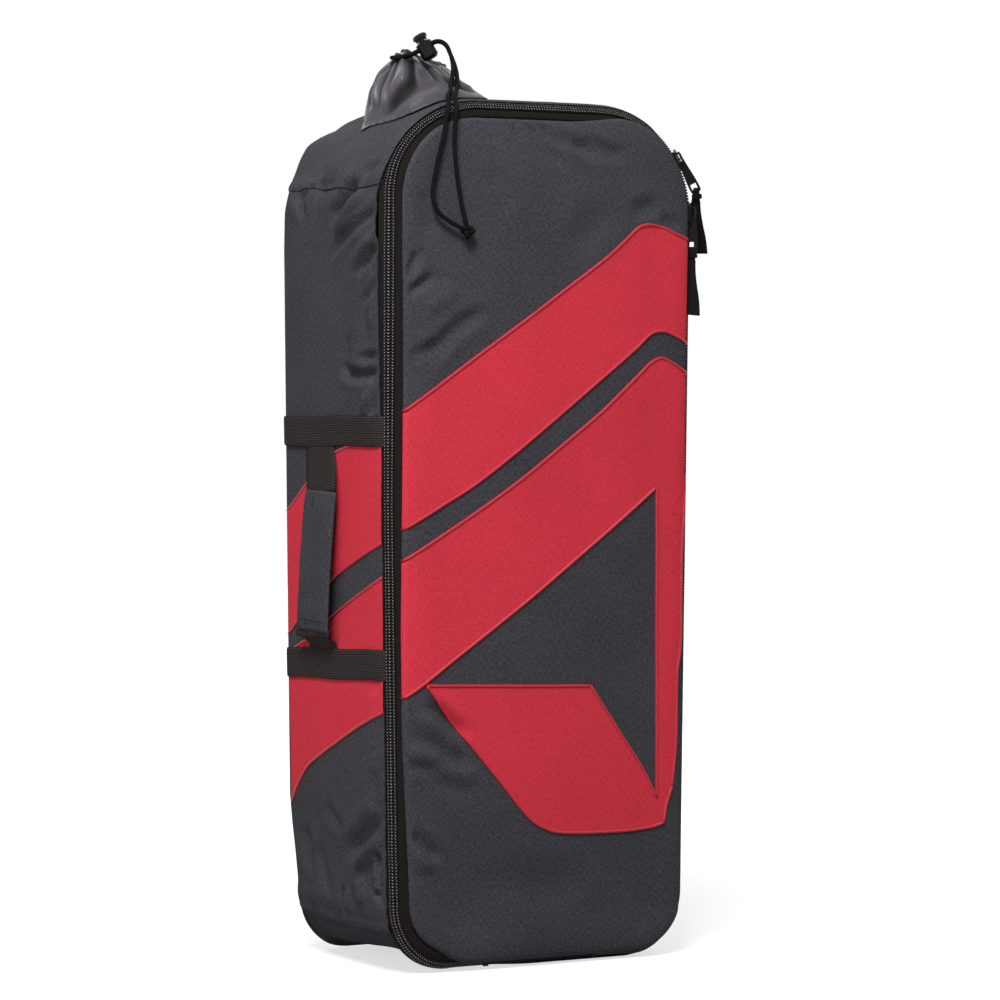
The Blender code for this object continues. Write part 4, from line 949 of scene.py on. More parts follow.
def piping(name, runs, place, body):
    """Corded edges along smooth runs."""
    tubes = [tube("edge", place(curve_through(run, 0.003), 0.0002), PIPING, 8) for run in runs]
    dress(joined(name, tubes), body, "red_fabric", look="red_piping")


def cover_cloths():
    """Slate cover with its three red pieces, cut from one sheet and edged with cord."""
    seams = [curve_through(run, RED_PITCH) for runs in RED_SEAMS.values() for run in runs]
    points, faces, edge = panel_mesh(cover_inset, seams=seams + [curve_through(BLOCK_SEAM, RED_PITCH)])
    y = cover_y(points[:, 0], points[:, 1], edge)
    middles = np.array([points[list(face)].mean(axis=0) for face in faces])
    colour = np.full(len(faces), "slate", dtype=object)
    for name, runs in RED_SHAPES.items():
        colour[inside(middles, np.vstack([curve_through(run, RED_PITCH) for run in runs]))] = name
    for name, node in RED_NODES.items():
        chosen = [face for face, c in zip(faces, colour) if c == name]
        dress(panel_piece(f"red_{name}", points, chosen, y - RED_LIFT), "cover", "red_fabric", node,
              inside="lining_cloth")
        piping(f"red_{name}_piping", RED_SEAMS[name], cover_point, "cover")
    slate = [face for face, c in zip(faces, colour) if c == "slate"]
    dress(panel_piece("cover_cloth", points, slate, y), "cover", "slate_fabric", "cover_panel",
          inside="lining_cloth")


cover_cloths()


BACK_INSET, BACK_PITCH = 0.0004, 0.006
BACK_ROLL, BACK_SWELL = 0.004, 0.0016


def back_cloth():
    """Back panel, rolled at its edge and slightly swollen."""
    points, faces, edge = panel_mesh(lambda run: BACK_INSET + back_pull(run), BACK_PITCH)
    y = BACK_Y - roll(edge, BACK_ROLL) + BACK_SWELL * (1 - bell(edge, 0.020))
    y += ripple(points[:, 0], points[:, 1], 41, 0.14, 0.0004) * step(edge, 0.0, 0.03)
    dress(panel_piece("back_cloth", points, faces, y, -CLOTH), "case", "slate_fabric", "back_panel",
          inside="lining_cloth")


back_cloth()

SIDE_EDGE = RIM_FRONT - SIDE_REACH
SIDE_UPPER_TOP = [(SIDE_EDGE, 0.4340), (-0.045, 0.4335), (-0.0300, 0.4312), (-0.0205, 0.4285),
                  (-0.0023, 0.424), (0.0222, 0.4125), (0.0469, 0.4009), (0.068, 0.3885), (RIM_BACK, 0.377)]
SIDE_UPPER_LOW = [(RIM_BACK, 0.272), (0.0798, 0.277), (0.0541, 0.2943), (0.024, 0.3094), (-0.0064, 0.3237),
                  (-0.0443, 0.3382), (SIDE_EDGE, 0.3497)]
SIDE_LOWER_TOP = [(SIDE_EDGE, 0.3216), (-0.041, 0.3072), (-0.0057, 0.2928), (0.024, 0.2805), (0.0534, 0.2681),
                  (RIM_BACK, 0.2555)]
SIDE_LOWER_LOW = [(RIM_BACK, 0.127), (0.080, 0.1356), (0.070, 0.1465), (0.0512, 0.1615), (0.025, 0.1732),
                  (-0.0003, 0.1835), (-0.041, 0.1995), (SIDE_EDGE, 0.2131)]


def left_point(points, lift):
    """Points of the left side's cloth, from y and z, moved out by a lift."""
    x = left_out(points[:, 0], points[:, 1])
    return np.stack([x - lift, points[:, 0], points[:, 1]], axis=1)


def side_patch(name, top, low, node):
    """Red cloth across the left side, sewn over the slate."""
    outline = np.vstack([curve_through(top, RED_PITCH), curve_through(low, RED_PITCH)])
    points, faces = triangulated(outline, [], loose_points(outline, RED_PITCH, 0.6 * RED_PITCH), RED_PITCH)
    cloth = piece(name, left_point(points, RED_LIFT), faces, points, left_point(points, -RED_LIFT))
    dress(cloth, "case", "red_fabric", node, inside="lining_cloth")
    piping(name + "_piping", [top, low], left_point, "case")


side_patch("side_red_upper", SIDE_UPPER_TOP, SIDE_UPPER_LOW, "side_red_band_upper")
side_patch("side_red_lower", SIDE_LOWER_TOP, SIDE_LOWER_LOW, "side_red_band_lower")

# Zip: tapes, coil teeth and their stitching, which is partly painted highlight

ZIP_START, ZIP_STOP = 0.054, RIM_LENGTH - 0.054
TOOTH_PITCH = 0.0026
TOOTH_SECTIONS = ((26.5, 0.00085, 0.0009), (30.0, 0.00098, 0.0020), (36.0, 0.00095, 0.0024),
                  (43.0, 0.00100, 0.0023), (48.5, 0.00088, 0.0017))
TOOTH_SIDES = 6
TOOTH_SLANT = 0.0010
TAPE_THICKNESS = 0.001
TAPE_PITCH = 0.004
# Rise of the stitches over the edge, and how far they sink on the right
DOT_RISE, DOT_SINK = 0.0022, 0.0010
# Angle, half length, half width in degrees and half height of the light stitches over each half of the coil,
# which are partly thread and partly painted highlight
BODY_STITCHES = ((31.5, 0.00042, 2.8, 0.0004), (43.5, 0.00062, 3.4, 0.0005))
COVER_STITCHES = ((33.0, 0.00052, 3.0, 0.0004),)
ZIP_FADE = (0.010, 0.046)
RIGHT_TURN = -15.0
SLIDER_GAP = (run_at(0.640, 1), run_at(0.668, 1))
CHAIN_HALF = 18.5
TOP_TURN = 9.0
# Height, turn towards the front and share of the full width, down the left of the zip
ZIP_LEFT = ((0.03, -2.0, 0.80), (0.10, -6.0, 0.84), (0.38, -7.0, 0.86), (0.52, 0.0, 0.98), (0.60, 4.0, 1.0),
            (0.66, 2.0, 0.86), (0.70, 0.0, 0.72))


def chain_turn(run):
    """Angle of the chain's middle, and its half width in degrees, by place on the outline."""
    x, z = rim(run)
    heights, turns, widths = zip(*ZIP_LEFT)
    left, top = step(-x, 0.075, 0.125), step(z, 0.66, 0.715)
    right = step(x, 0.08, 0.12) * (1 - step(z, 0.585, 0.615))
    turn = 45 + left * np.interp(z, heights, turns) + RIGHT_TURN * right
    width = CHAIN_HALF * (left * np.interp(z, heights, widths) + (1 - left) * (0.82 - 0.14 * top))
    return turn + TOP_TURN * top, width


def zip_point(run, degrees, radius):
    """Point over the zip's rounded edge: run along it, 0 degrees on the side and 90 on the front."""
    turn, width = chain_turn(run)
    low, high = turn - width, turn + width
    share = (degrees - 45) / CHAIN_HALF
    angle = np.where(share < -1, low * degrees / (45 - CHAIN_HALF),
                     np.where(share > 1, 90 - (90 - high) * (90 - degrees) / (45 - CHAIN_HALF),
                              turn + width * share))
    angle = np.radians(angle)
    x, z = rim(run, -ZIP_CENTRE - front_slump(run) + radius * np.cos(angle))
    y = RIM_FRONT - radius * np.sin(angle)
    return np.stack(np.broadcast_arrays(x, y, z), axis=-1)


def zip_strip(name, runs, angles):
    """Woven strip over the zip's edge."""
    run, angle = np.meshgrid(runs, angles, indexing="ij")
    outer = zip_point(run, angle, EDGE_RADIUS).reshape(-1, 3)
    inner = zip_point(run, angle, EDGE_RADIUS - TAPE_THICKNESS).reshape(-1, 3)
    uvs = np.stack([np.radians(angle) * EDGE_RADIUS, run], axis=-1).reshape(-1, 2)
    return piece(name, outer, grid_faces(len(runs), len(angles)), uvs, inner)


def zip_tape(name, low, high, body, node):
    """Tape that carries one half of the coil, between two angles."""
    runs = np.linspace(ZIP_START, ZIP_STOP, int((ZIP_STOP - ZIP_START) / TAPE_PITCH))
    made = zip_strip(name, runs, np.linspace(low, high, 6))
    dress(made, body, "zip_tape", node, inside="zip_tape")


def tooth(run, mirror):
    """One coil loop, from its tail on the tape to its head."""
    verts = []
    ring = np.radians(np.arange(0, 360, 360 / TOOTH_SIDES))
    for k, (angle, half, rise) in enumerate(TOOTH_SECTIONS):
        lean = TOOTH_SLANT * k / (len(TOOTH_SECTIONS) - 1)
        along = run + lean + half * np.cos(ring)
        radius = EDGE_RADIUS + rise * (0.45 + 0.55 * np.sin(ring)) * coil_rise(run)
        verts.append(zip_point(along, 90 - angle if mirror else angle, radius))
    return np.vstack(verts)


def coil_rise(run):
    """Height share of the coil, which goes under the edge at both ends of the zip."""
    return 0.12 + 0.88 * step(np.minimum(run - ZIP_START, ZIP_STOP - run), *ZIP_FADE)


def dot(run, angle, size):
    """One light stitch over the coil, between two loops: partly thread, partly a painted highlight."""
    lean = TOOTH_SLANT * (0.5 if angle < 45 else -0.5)
    rise = DOT_RISE - DOT_SINK * step(rim(run)[0], 0.04, 0.10)
    lift = coil_rise(run)
    return np.array([zip_point(run + size[0] * a + lean * b, angle + size[1] * b,
                               EDGE_RADIUS + (rise + size[2] * c) * lift) for a, b, c in BEAD_STEPS])


TOOTH_FACES = capped_faces(len(TOOTH_SECTIONS), TOOTH_SIDES)


def zip_half(name, start, stop, mirror, body, node):
    """One row of coil loops with its light stitching, which is partly a painted highlight."""
    offset = TOOTH_PITCH / 2 if mirror else 0.0
    runs = np.arange(start, stop, TOOTH_PITCH) + offset
    dress(repeated(name, [tooth(run, mirror) for run in runs], TOOTH_FACES), body, "zip_coil", node)
    rows = COVER_STITCHES if mirror else BODY_STITCHES
    dots = [dot(run + TOOTH_PITCH / 2, 90 - angle if mirror else angle, size) for run in runs
            for angle, *size in rows]
    dress(repeated(name + "_stitches", dots, BEAD_FACES), body, "zip_coil", look="zip_thread_and_painted_highlight")


zip_tape("body_tape", 0.0, 27.0, "case", "body_zip_tape")
zip_tape("cover_tape", 63.0, 90.0, "cover", "cover_zip_tape")
zip_half("body_coil", ZIP_START, ZIP_STOP, False, "case", "body_zip_chain")
zip_half("cover_coil_right", ZIP_START, SLIDER_GAP[0], True, "cover", "cover_zip_chain_right")
zip_half("cover_coil_left", SLIDER_GAP[1], ZIP_STOP, True, "cover", "cover_zip_chain_left")


# Angles over the base edge where the hinge's cloth is held by the case and by the cover
HINGE_HOLDS = (30.0, 60.0)


def hinge_cloth():
    """Strip across the middle of the base edge that the cover turns on."""
    made = zip_strip("hinge_cloth", np.linspace(-ZIP_START, ZIP_START, 28), np.linspace(0, 90, 16))
    still, turning = (zip_point(0.0, degrees, EDGE_RADIUS) for degrees in HINGE_HOLDS)
    dress_bending(made, "zip_tape", ("case", still), ("cover", turning), "hinge_strip", "cover_hinge_leaf")


hinge_cloth()


def strip_axes(path, across):
    """Side and normal of a flat strip along a path."""
    tangent = unit(np.gradient(path, axis=0))
    across = np.broadcast_to(np.array(across, float), path.shape)
    across = unit(across - tangent * np.sum(across * tangent, axis=1)[:, None])
    return across, np.cross(tangent, across)


def ribbon(name, path, across, width, thickness, columns=9):
    """Flat strap along a path, with softer edges."""
    path = np.array(path, float)
    across, normal = strip_axes(path, across)
    share = np.linspace(-0.5, 0.5, columns)
    half = thickness / 2 * (1 - 0.5 * bell(0.5 - np.abs(share), 0.06))
    width = np.broadcast_to(np.asarray(width, float), (len(path),))
    flat = path[:, None, :] + across[:, None, :] * (width[:, None] * share)[..., None]
    rise = normal[:, None, :] * half[None, :, None]
    uvs = [(s * w, r) for r, w in zip(run_along(path), width) for s in share]
    return piece(name, (flat + rise).reshape(-1, 3), grid_faces(len(path), columns), uvs,
                 (flat - rise).reshape(-1, 3))


# Zip pulls and their ribbon tags, which hang turned towards the front left

HANG_FACE = np.array((-0.51, -0.86, 0.0))
# Half width of a pull, by distance from its top
PULL_HALF = ((0.0, 0.0016), (0.0014, 0.0026), (0.0045, 0.0029), (0.0110, 0.0034), (0.0220, 0.0043),
             (0.0310, 0.0045), (0.0334, 0.0034))
PULL_EYE = (0.0022, 0.0012)
PULL_SLOT = ((0.0252, -0.0026), (0.0252, 0.0026), (0.0300, 0.0026), (0.0300, -0.0026))
PULL_THICKNESS = 0.0013
PULL_PITCH, PULL_STEP = 0.0012, 0.0008
PULL_ROUND = 0.0003
# Width of a tag, and how far apart its two layers stand, by distance from its top
TAG_WIDTH = ((0.0, 0.0050), (0.0065, 0.0058), (0.0120, 0.0078), (0.0350, 0.0088), (0.0520, 0.0112),
             (0.0590, 0.0124))
TAG_SPLAY = ((0.004, 0.0010), (0.010, 0.0008), (0.030, 0.0009), (0.050, 0.0013), (0.0575, 0.0019))
TAG_FOLD = ((0.0, -0.0014), (-0.0004, 0.0), (0.0, 0.0014))
TAG_THICKNESS, TAG_PITCH = 0.0008, 0.0012
TAG_BOW, TAG_WAVE = 0.0012, 95.0
# Turns of the tie round a tag's neck: where, half width and depth, slant and thread
TIE_AT = (0.0060, 0.0076)
TIE_HALF, TIE_SLANT, TIE_RADIUS = (0.0036, 0.0021), 0.0004, 0.0009


def round_edges(obj, width):
    """Small rounded edges on a hard piece."""
    bevel = obj.modifiers.new("round", "BEVEL")
    bevel.width, bevel.segments, bevel.limit_method = width, 2, "ANGLE"


def hanging_axes(node):
    """Top end of a long solid that hangs, its downward axis, its broad side and the way that it faces."""
    points = np.array([tuple(v.co) for v in frame["nodes"][node].data.vertices])
    middle = points.mean(axis=0)
    down = np.linalg.svd(points - middle, full_matrices=False)[2][0]
    down *= -np.sign(down[2])
    face = unit(HANG_FACE - down * (HANG_FACE @ down))
    return middle + down * ((points - middle) @ down).min(), down, np.cross(down, face), face


def zip_pull(name, node, body):
    """Flat pull with a round eye at the slider and a slot for its tag."""
    top, down, side, face = hanging_axes(node)
    right = curve_through(PULL_HALF, PULL_STEP)
    outline = np.vstack([right, (right * (1, -1))[::-1]])
    turn = np.linspace(0, 2 * math.pi, 13)
    eye = np.stack([PULL_EYE[0] + PULL_EYE[1] * np.cos(turn), PULL_EYE[1] * np.sin(turn)], axis=1)
    slot = resample(PULL_SLOT + PULL_SLOT[:1], PULL_STEP)
    loose = loose_points(outline, PULL_PITCH, PULL_PITCH / 2)
    points, faces = triangulated(outline, [eye, slot], loose, PULL_PITCH)
    middles = np.array([points[list(f)].mean(axis=0) for f in faces])
    cut = inside(middles, eye) | inside(middles, slot)
    used, faces = used_points([f for f, gone in zip(faces, cut) if not gone])
    flat = top + points[used, :1] * down + points[used, 1:] * side
    made = piece(name, flat + face * PULL_THICKNESS / 2, faces, None, flat - face * PULL_THICKNESS / 2)
    round_edges(made, PULL_ROUND)
    dress(made, body, "slider_metal", node, inside="slider_metal")


def zip_tag(name, node, body):
    """Ribbon folded through the pull's slot, tied at its neck and splayed at its cut end."""
    top, down, side, face = hanging_axes(node)
    loop = [(s, -d) for s, d in reversed(TAG_SPLAY)] + [*TAG_FOLD, *TAG_SPLAY]
    path = curve_through([top + s * down + d * face for s, d in loop], TAG_PITCH)
    fall = (path - top) @ down
    bow = TAG_BOW * np.sin(fall * TAG_WAVE)
    tag = ribbon(name, path + bow[:, None] * side, side, table(TAG_WIDTH, fall), TAG_THICKNESS, 7)
    dress(tag, body, "tag_rubber", node, inside="tag_rubber")
    turn = np.linspace(0, 2 * math.pi, 25)
    rings = []
    for at in TIE_AT:
        ring = np.outer(TIE_HALF[0] * np.cos(turn), side) + np.outer(TIE_HALF[1] * np.sin(turn), face)
        ring += top + at * down + TIE_SLANT * np.outer(np.sin(turn), down)
        rings.append(tube("wrap", ring, TIE_RADIUS, 8))
    dress(joined(name + "_tie", rings), body, "tag_rubber")


for end in ("upper", "lower"):
    zip_pull(f"pull_{end}", f"slider_{end}_pull", f"{end}_pull")
    zip_tag(f"tag_{end}", f"slider_{end}_tag", f"{end}_tag")

# Left side: webbing bands, handle webbing and padded grip

WEBBING = 0.0015
BAND_WIDTH = 0.025
BAND_REACH = 0.0066
HANDLE_WIDTH = 0.050
LEVEL, SIDEWAYS, UPRIGHT = (1.0, 0.0, 0.0), (0.0, 1.0, 0.0), (0.0, 0.0, 1.0)
GRIP_WIDTH = 0.054
GRIP_TOP = (0.393, 0.0065, 0.0135)
GRIP_LOW = (0.276, 0.0125, 0.0200)
GRIP_SWELL = 0.0012
BAND_SEAT = 0.0012
BAND_WAVE = 0.0004
SELVEDGE = (0.0006, 0.0012)
PATH_PITCH = 0.003


def side_band(name, front_z, back_z, node):
    """Webbing sewn flat across the left side, from under the zip to the back seam."""
    y, across = np.meshgrid(np.linspace(RIM_FRONT - BAND_REACH, RIM_BACK, 60),
                            BAND_WIDTH * np.linspace(-0.5, 0.5, 13), indexing="ij")
    share = (y - RIM_FRONT) / (RIM_BACK - RIM_FRONT)
    z = front_z + (back_z - front_z) * share + across + BAND_WAVE * np.sin(y * 61.0 + front_z * 20.0)
    selvedge = SELVEDGE[0] * bell(BAND_WIDTH / 2 - np.abs(across), SELVEDGE[1])
    points = np.stack([y, z], axis=-1).reshape(-1, 2)
    tuck = roll(np.maximum(0.0, y - (RIM_FRONT - BAND_REACH)), BAND_REACH).reshape(-1)
    lift = (BAND_SEAT + WEBBING - selvedge).reshape(-1) - tuck
    uvs = np.stack([y, across], axis=-1).reshape(-1, 2)
    dress(piece(name, left_point(points, lift), grid_faces(*y.shape), uvs,
                left_point(points, BAND_SEAT - tuck)), "case", "black_webbing", node, inside="black_webbing")


side_band("webbing_band_upper", 0.4407, 0.4447, "upper_side_band")
side_band("webbing_band_lower", 0.2508, 0.2478, "lower_side_band")


def side_path(points):
    """Points on the left side from (height, stand-off, y), smoothed."""
    return curve_through([(-side_x(z) - out, y, z) for z, out, y in points], PATH_PITCH)


def handle_webbing(name, points, grip_end, node):
    """Webbing between a band and the grip."""
    path = side_path(points)
    start, end = (path[0], path[-1]) if grip_end else (path[-1], path[0])
    strap = ribbon(name, path, SIDEWAYS, HANDLE_WIDTH, WEBBING)
    dress_bending(strap, "black_webbing", ("case", start), ("grip", end), node)


BAND_UNDER = 0.0020
UPPER_RUN = [(0.4380, BAND_UNDER, 0.0240), (0.4297, BAND_UNDER, 0.0228), (0.4197, 0.0028, 0.0203),
             (0.4010, 0.0055, 0.0150), (0.3900, 0.0067, 0.0134)]
LOWER_RUN = [(0.2790, 0.0125, 0.0198), (0.2710, 0.0095, 0.0200), (0.2683, 0.0057, 0.0204),
             (0.2658, 0.0027, 0.0204), (0.2628, BAND_UNDER, 0.0204), (0.2560, BAND_UNDER, 0.0204)]
handle_webbing("handle_strap_upper", UPPER_RUN, True, "handle_webbing_upper")
handle_webbing("handle_strap_lower", LOWER_RUN, False, "handle_webbing_lower")


def pillow(name, path, across, width, thickness, columns=26, channels=(), seed=1):
    """Padded strip along a path: crowned, pinched at its edges, its ends and its sewn channels."""
    across, normal = strip_axes(path, across)
    turn = np.linspace(0, 2 * math.pi, columns, endpoint=False)
    wide = np.sign(np.cos(turn)) * np.abs(np.cos(turn)) ** 0.55
    thick = np.sign(np.sin(turn)) * np.abs(np.sin(turn)) ** 0.75
    run = run_along(path)
    ends = np.minimum(run, run[-1] - run)
    u, v = np.meshgrid(wide * width / 2, run)
    fill = 1 - 0.45 * bell(ends, 0.008)[:, None] + ripple(u, v + np.sign(thick), seed, 0.026, 0.14)
    for channel in channels:
        fill = fill * (1 - 0.35 * bell(u - channel, 0.0022))
    flat = path[:, None, :] + across[:, None, :] * u[..., None]
    rise = normal[:, None, :] * (thick * thickness / 2 * fill)[..., None]
    return piece(name, (flat + rise).reshape(-1, 3), capped_faces(len(path), columns),
                 np.stack([u, v], axis=-1).reshape(-1, 2))


GRIP_THICKNESS = 0.0064
GRIP_SEAM = 0.0085
GRIP_HEM = 0.0090
# Stand of the hem's and the seam's stitches, as shares of the thickness, and half the hem row's width
HEM_STAND, SEAM_SINK, HEM_HALF = 0.48, 0.34, 0.36 * GRIP_WIDTH
ROLL_HALF, ROLL_SIZE, ROLL_PLACE = 0.029, (0.0060, 0.0046), (0.001, 0.0020)


def grip():
    """Padded wrap round the handle webbing, with its seam, its hem and the webbing rolled under it."""
    points = []
    for t in np.linspace(0, 1, 9):
        z, out, y = (low * t + top * (1 - t) for top, low in zip(GRIP_TOP, GRIP_LOW))
        points.append((z, out + GRIP_SWELL * math.sin(math.pi * t), y))
    path = side_path(points)
    made = pillow("grip_wrap", path, SIDEWAYS, GRIP_WIDTH, GRIP_THICKNESS, 40, (GRIP_SEAM,), 51)
    dress(made, "grip", "slate_fabric", "handle_grip")
    across, normal = strip_axes(path, SIDEWAYS)
    face = path - normal * (HEM_STAND * GRIP_THICKNESS)
    seam = path + across * GRIP_SEAM - normal * (SEAM_SINK * GRIP_THICKNESS)
    hem = len(path) - 1 - round(GRIP_HEM / PATH_PITCH)
    row = [face[hem] + across[hem] * w for w in (-HEM_HALF, 0.0, HEM_HALF)]
    stitches("grip_stitches", [seam[2:-2], row], "grip", "slate_fabric")
    z, out, y = GRIP_LOW
    x = -side_x(z) - out + ROLL_PLACE[0]
    line = curve_through([(x, y + w, z - ROLL_PLACE[1]) for w in (-ROLL_HALF, 0.0, ROLL_HALF)], PATH_PITCH)
    dress(pillow("grip_webbing_roll", line, UPRIGHT, *ROLL_SIZE, 16, (), 52), "grip", "black_webbing")


grip()

# Tube collar, draw cords and knot; the cord lock is carried over from the solids

# Middle, half sizes and squareness of the collar's plan, and the height of its cloth
COLLAR_PLAN = (-0.080, -0.028)
COLLAR_HALF = (0.042, 0.046)
COLLAR_SQUARE = 4.0
COLLAR_CUT = 0.066
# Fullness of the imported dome, its share in the shape, and the ways that its cone and its folds face
COLLAR_DOME = 1.35
COLLAR_HELD = 0.84
COLLAR_RIGHT = math.radians(-30.6)
COLLAR_FACE = math.radians(-120.0)
# Radius that turns an angle round the collar into a length
COLLAR_AROUND = 0.050
# Folds of the collar: path round it from its front left and up from its seam, width and height
COLLAR_FOLDS = [
    ([(-48, -4), (-24, 12), (0, 22)], 7.0, -9.0), ([(-22, 68), (-14, 42), (-9, 12)], 3.6, -7.5),
    ([(-36, 60), (-44, 36), (-49, 6)], 4.0, 5.0), ([(-56, 8), (-54, 36), (-47, 60)], 3.6, -4.5),
    ([(-66, 8), (-63, 22), (-58, 40)], 4.0, 3.5), ([(-82, 10), (-73, 26), (-66, 44)], 5.5, -6.5),
    ([(-8, 62), (-2, 42), (0, 26)], 4.5, 4.5), ([(6, 56), (13, 36), (22, 14)], 3.2, -4.5),
    ([(16, 58), (22, 38), (30, 24)], 4.0, 3.0), ([(28, 24), (43, 12), (58, 5)], 3.6, -4.5),
    ([(36, 30), (50, 18), (62, 10)], 3.6, 3.5), ([(-8, 4), (6, 8), (20, 8)], 4.0, 2.5),
    ([(70, 60), (74, 30), (80, 8)], 7.0, -6.0), ([(100, 60), (104, 24)], 8.0, -6.0),
    ([(-95, 60), (-92, 22)], 8.0, -6.0), ([(130, 58), (134, 18)], 8.0, -5.0),
    ([(-130, 58), (-126, 16)], 8.0, 5.0)]
# Painted shade in the satin's folds and painted highlight on their ridges, by the depth of the folds
PAINTED_FOLD_SHADES = ((-0.006, 0.14), (-0.002, 0.52), (0.0, 0.92), (0.004, 1.75))
COLLAR_COLUMNS = 132
COLLAR_ROWS = 28
SEAM_STAND = 0.0022
MOUTH = (-0.0640, 0.0100, 0.7590)
MOUTH_RADIUS = (0.0160, 0.0130)
MOUTH_TILT, MOUTH_WAVE = 0.0042, 0.0015
MOUTH_PLEATS = ((5, 0.0052, 0.4), (8, 0.0030, 1.9), (13, 0.0012, 0.3))
GATHER_FRAMES = 30
SETTLE_FRAMES = 46
NYLON = {
    "quality": 6, "mass": 0.12, "air_damping": 1.2, "tension_stiffness": 20, "compression_stiffness": 8,
    "shear_stiffness": 4, "tension_damping": 8, "compression_damping": 8, "shear_damping": 8,
    "bending_stiffness": 9, "bending_damping": 0.6, "vertex_group_mass": "sewn", "use_pressure": True,
    "uniform_pressure_force": 2.2}
NYLON_GRAVITY = 0.3
NYLON_THICKNESS = 0.0006
# Reach of the sewn edge outside the seam, and the cloth folded under it
FLANGE, SEAM_ALLOWANCE = 0.0018, 0.004
RAGGED = (0.0007, 0.0005)
# Radius and lumps of the hem roll, and the painted shade on it
HEM_RADIUS, HEM_LUMP, HEM_PAINTED_SHADE = 0.0021, 0.0004, 0.8
GUSSET_FROM = 0.66
TOP_RUNS = np.linspace(run_at(GUSSET_FROM, -1), run_at(GUSSET_FROM, 1), 400)
TOP_XS = rim(TOP_RUNS)[0]


def gusset_z(x, y):
    """Height of the top gusset's cloth."""
    run = np.interp(x, TOP_XS, TOP_RUNS)
    return rim(run, top_relief(run, y) - settle(run, y))[1]


def collar_turn():
    """Angles round the collar."""
    return np.linspace(0, 2 * math.pi, COLLAR_COLUMNS, endpoint=False)


def collar_ring(grow=0.0):
    """Plan of the collar's seam, a rounded square: x and y."""
    a = collar_turn()
    c, s = np.cos(a), np.sin(a)
    wide, deep = COLLAR_HALF
    reach = (np.abs(c / (wide + grow)) ** COLLAR_SQUARE + np.abs(s / (deep + grow)) ** COLLAR_SQUARE)
    reach = reach ** (-1 / COLLAR_SQUARE)
    return COLLAR_PLAN[0] + reach * c, COLLAR_PLAN[1] + reach * s


def collar_seam():
    """Ring where the sleeve is sewn to the top of the bag."""
    x, y = collar_ring()
    return np.stack([x, y, gusset_z(x, y) + SEAM_STAND], axis=1)


def collar_mouth():
    """Pleated ring that the draw cords pull the hem into, higher at the back left."""
    a = collar_turn()
    pleat = sum(height * np.cos(count * a + phase) for count, height, phase in MOUTH_PLEATS)
    x = (MOUTH_RADIUS[0] + pleat) * np.cos(a)
    y = (MOUTH_RADIUS[1] + pleat) * np.sin(a)
    across = x * math.cos(AZIMUTH) - y * math.sin(AZIMUTH)
    z = -MOUTH_TILT * across / MOUTH_RADIUS[0] + MOUTH_WAVE * np.cos(3 * a + 1)
    return np.stack([x, y, z], axis=1) + np.array(MOUTH)


def collar_dome(share):
    """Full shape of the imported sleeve: a dome on its left and a cone on its right."""
    seam, mouth = collar_seam(), collar_mouth()
    turn = share[:, None] * math.pi / 2
    cone = 0.5 + 0.5 * np.cos(collar_turn() - COLLAR_RIGHT)
    low = np.clip(np.cos(turn), 0, 1) ** COLLAR_DOME * (1 - cone) + (1 - np.sin(turn)) * cone
    weight = np.stack([low, low, np.broadcast_to(1 - np.sin(turn), low.shape)], axis=-1)
    return seam * weight + mouth * (1 - weight)


def creased_sleeve(rings, rise):
    """Stiffer folds pressed into the settled sleeve: its points, and the painted shade and highlight of the
    satin at each.
    """
    around = (collar_turn() - COLLAR_FACE + math.pi) % (2 * math.pi) - math.pi
    u, v = np.meshgrid(COLLAR_AROUND * around, rise)
    rings = rings * (1 - COLLAR_HELD) + collar_dome(rise / COLLAR_CUT) * COLLAR_HELD
    share = v / COLLAR_CUT
    height = folds(u, v, COLLAR_FOLDS) * step(share, 0.0, 0.15) * (1 - step(share, 0.86, 1.0))
    outward = unit((rings - rings.mean(axis=1)[:, None, :]) * (1.0, 1.0, 0.0))
    return (rings + outward * height[..., None]).reshape(-1, 3), table(PAINTED_FOLD_SHADES, height).ravel()


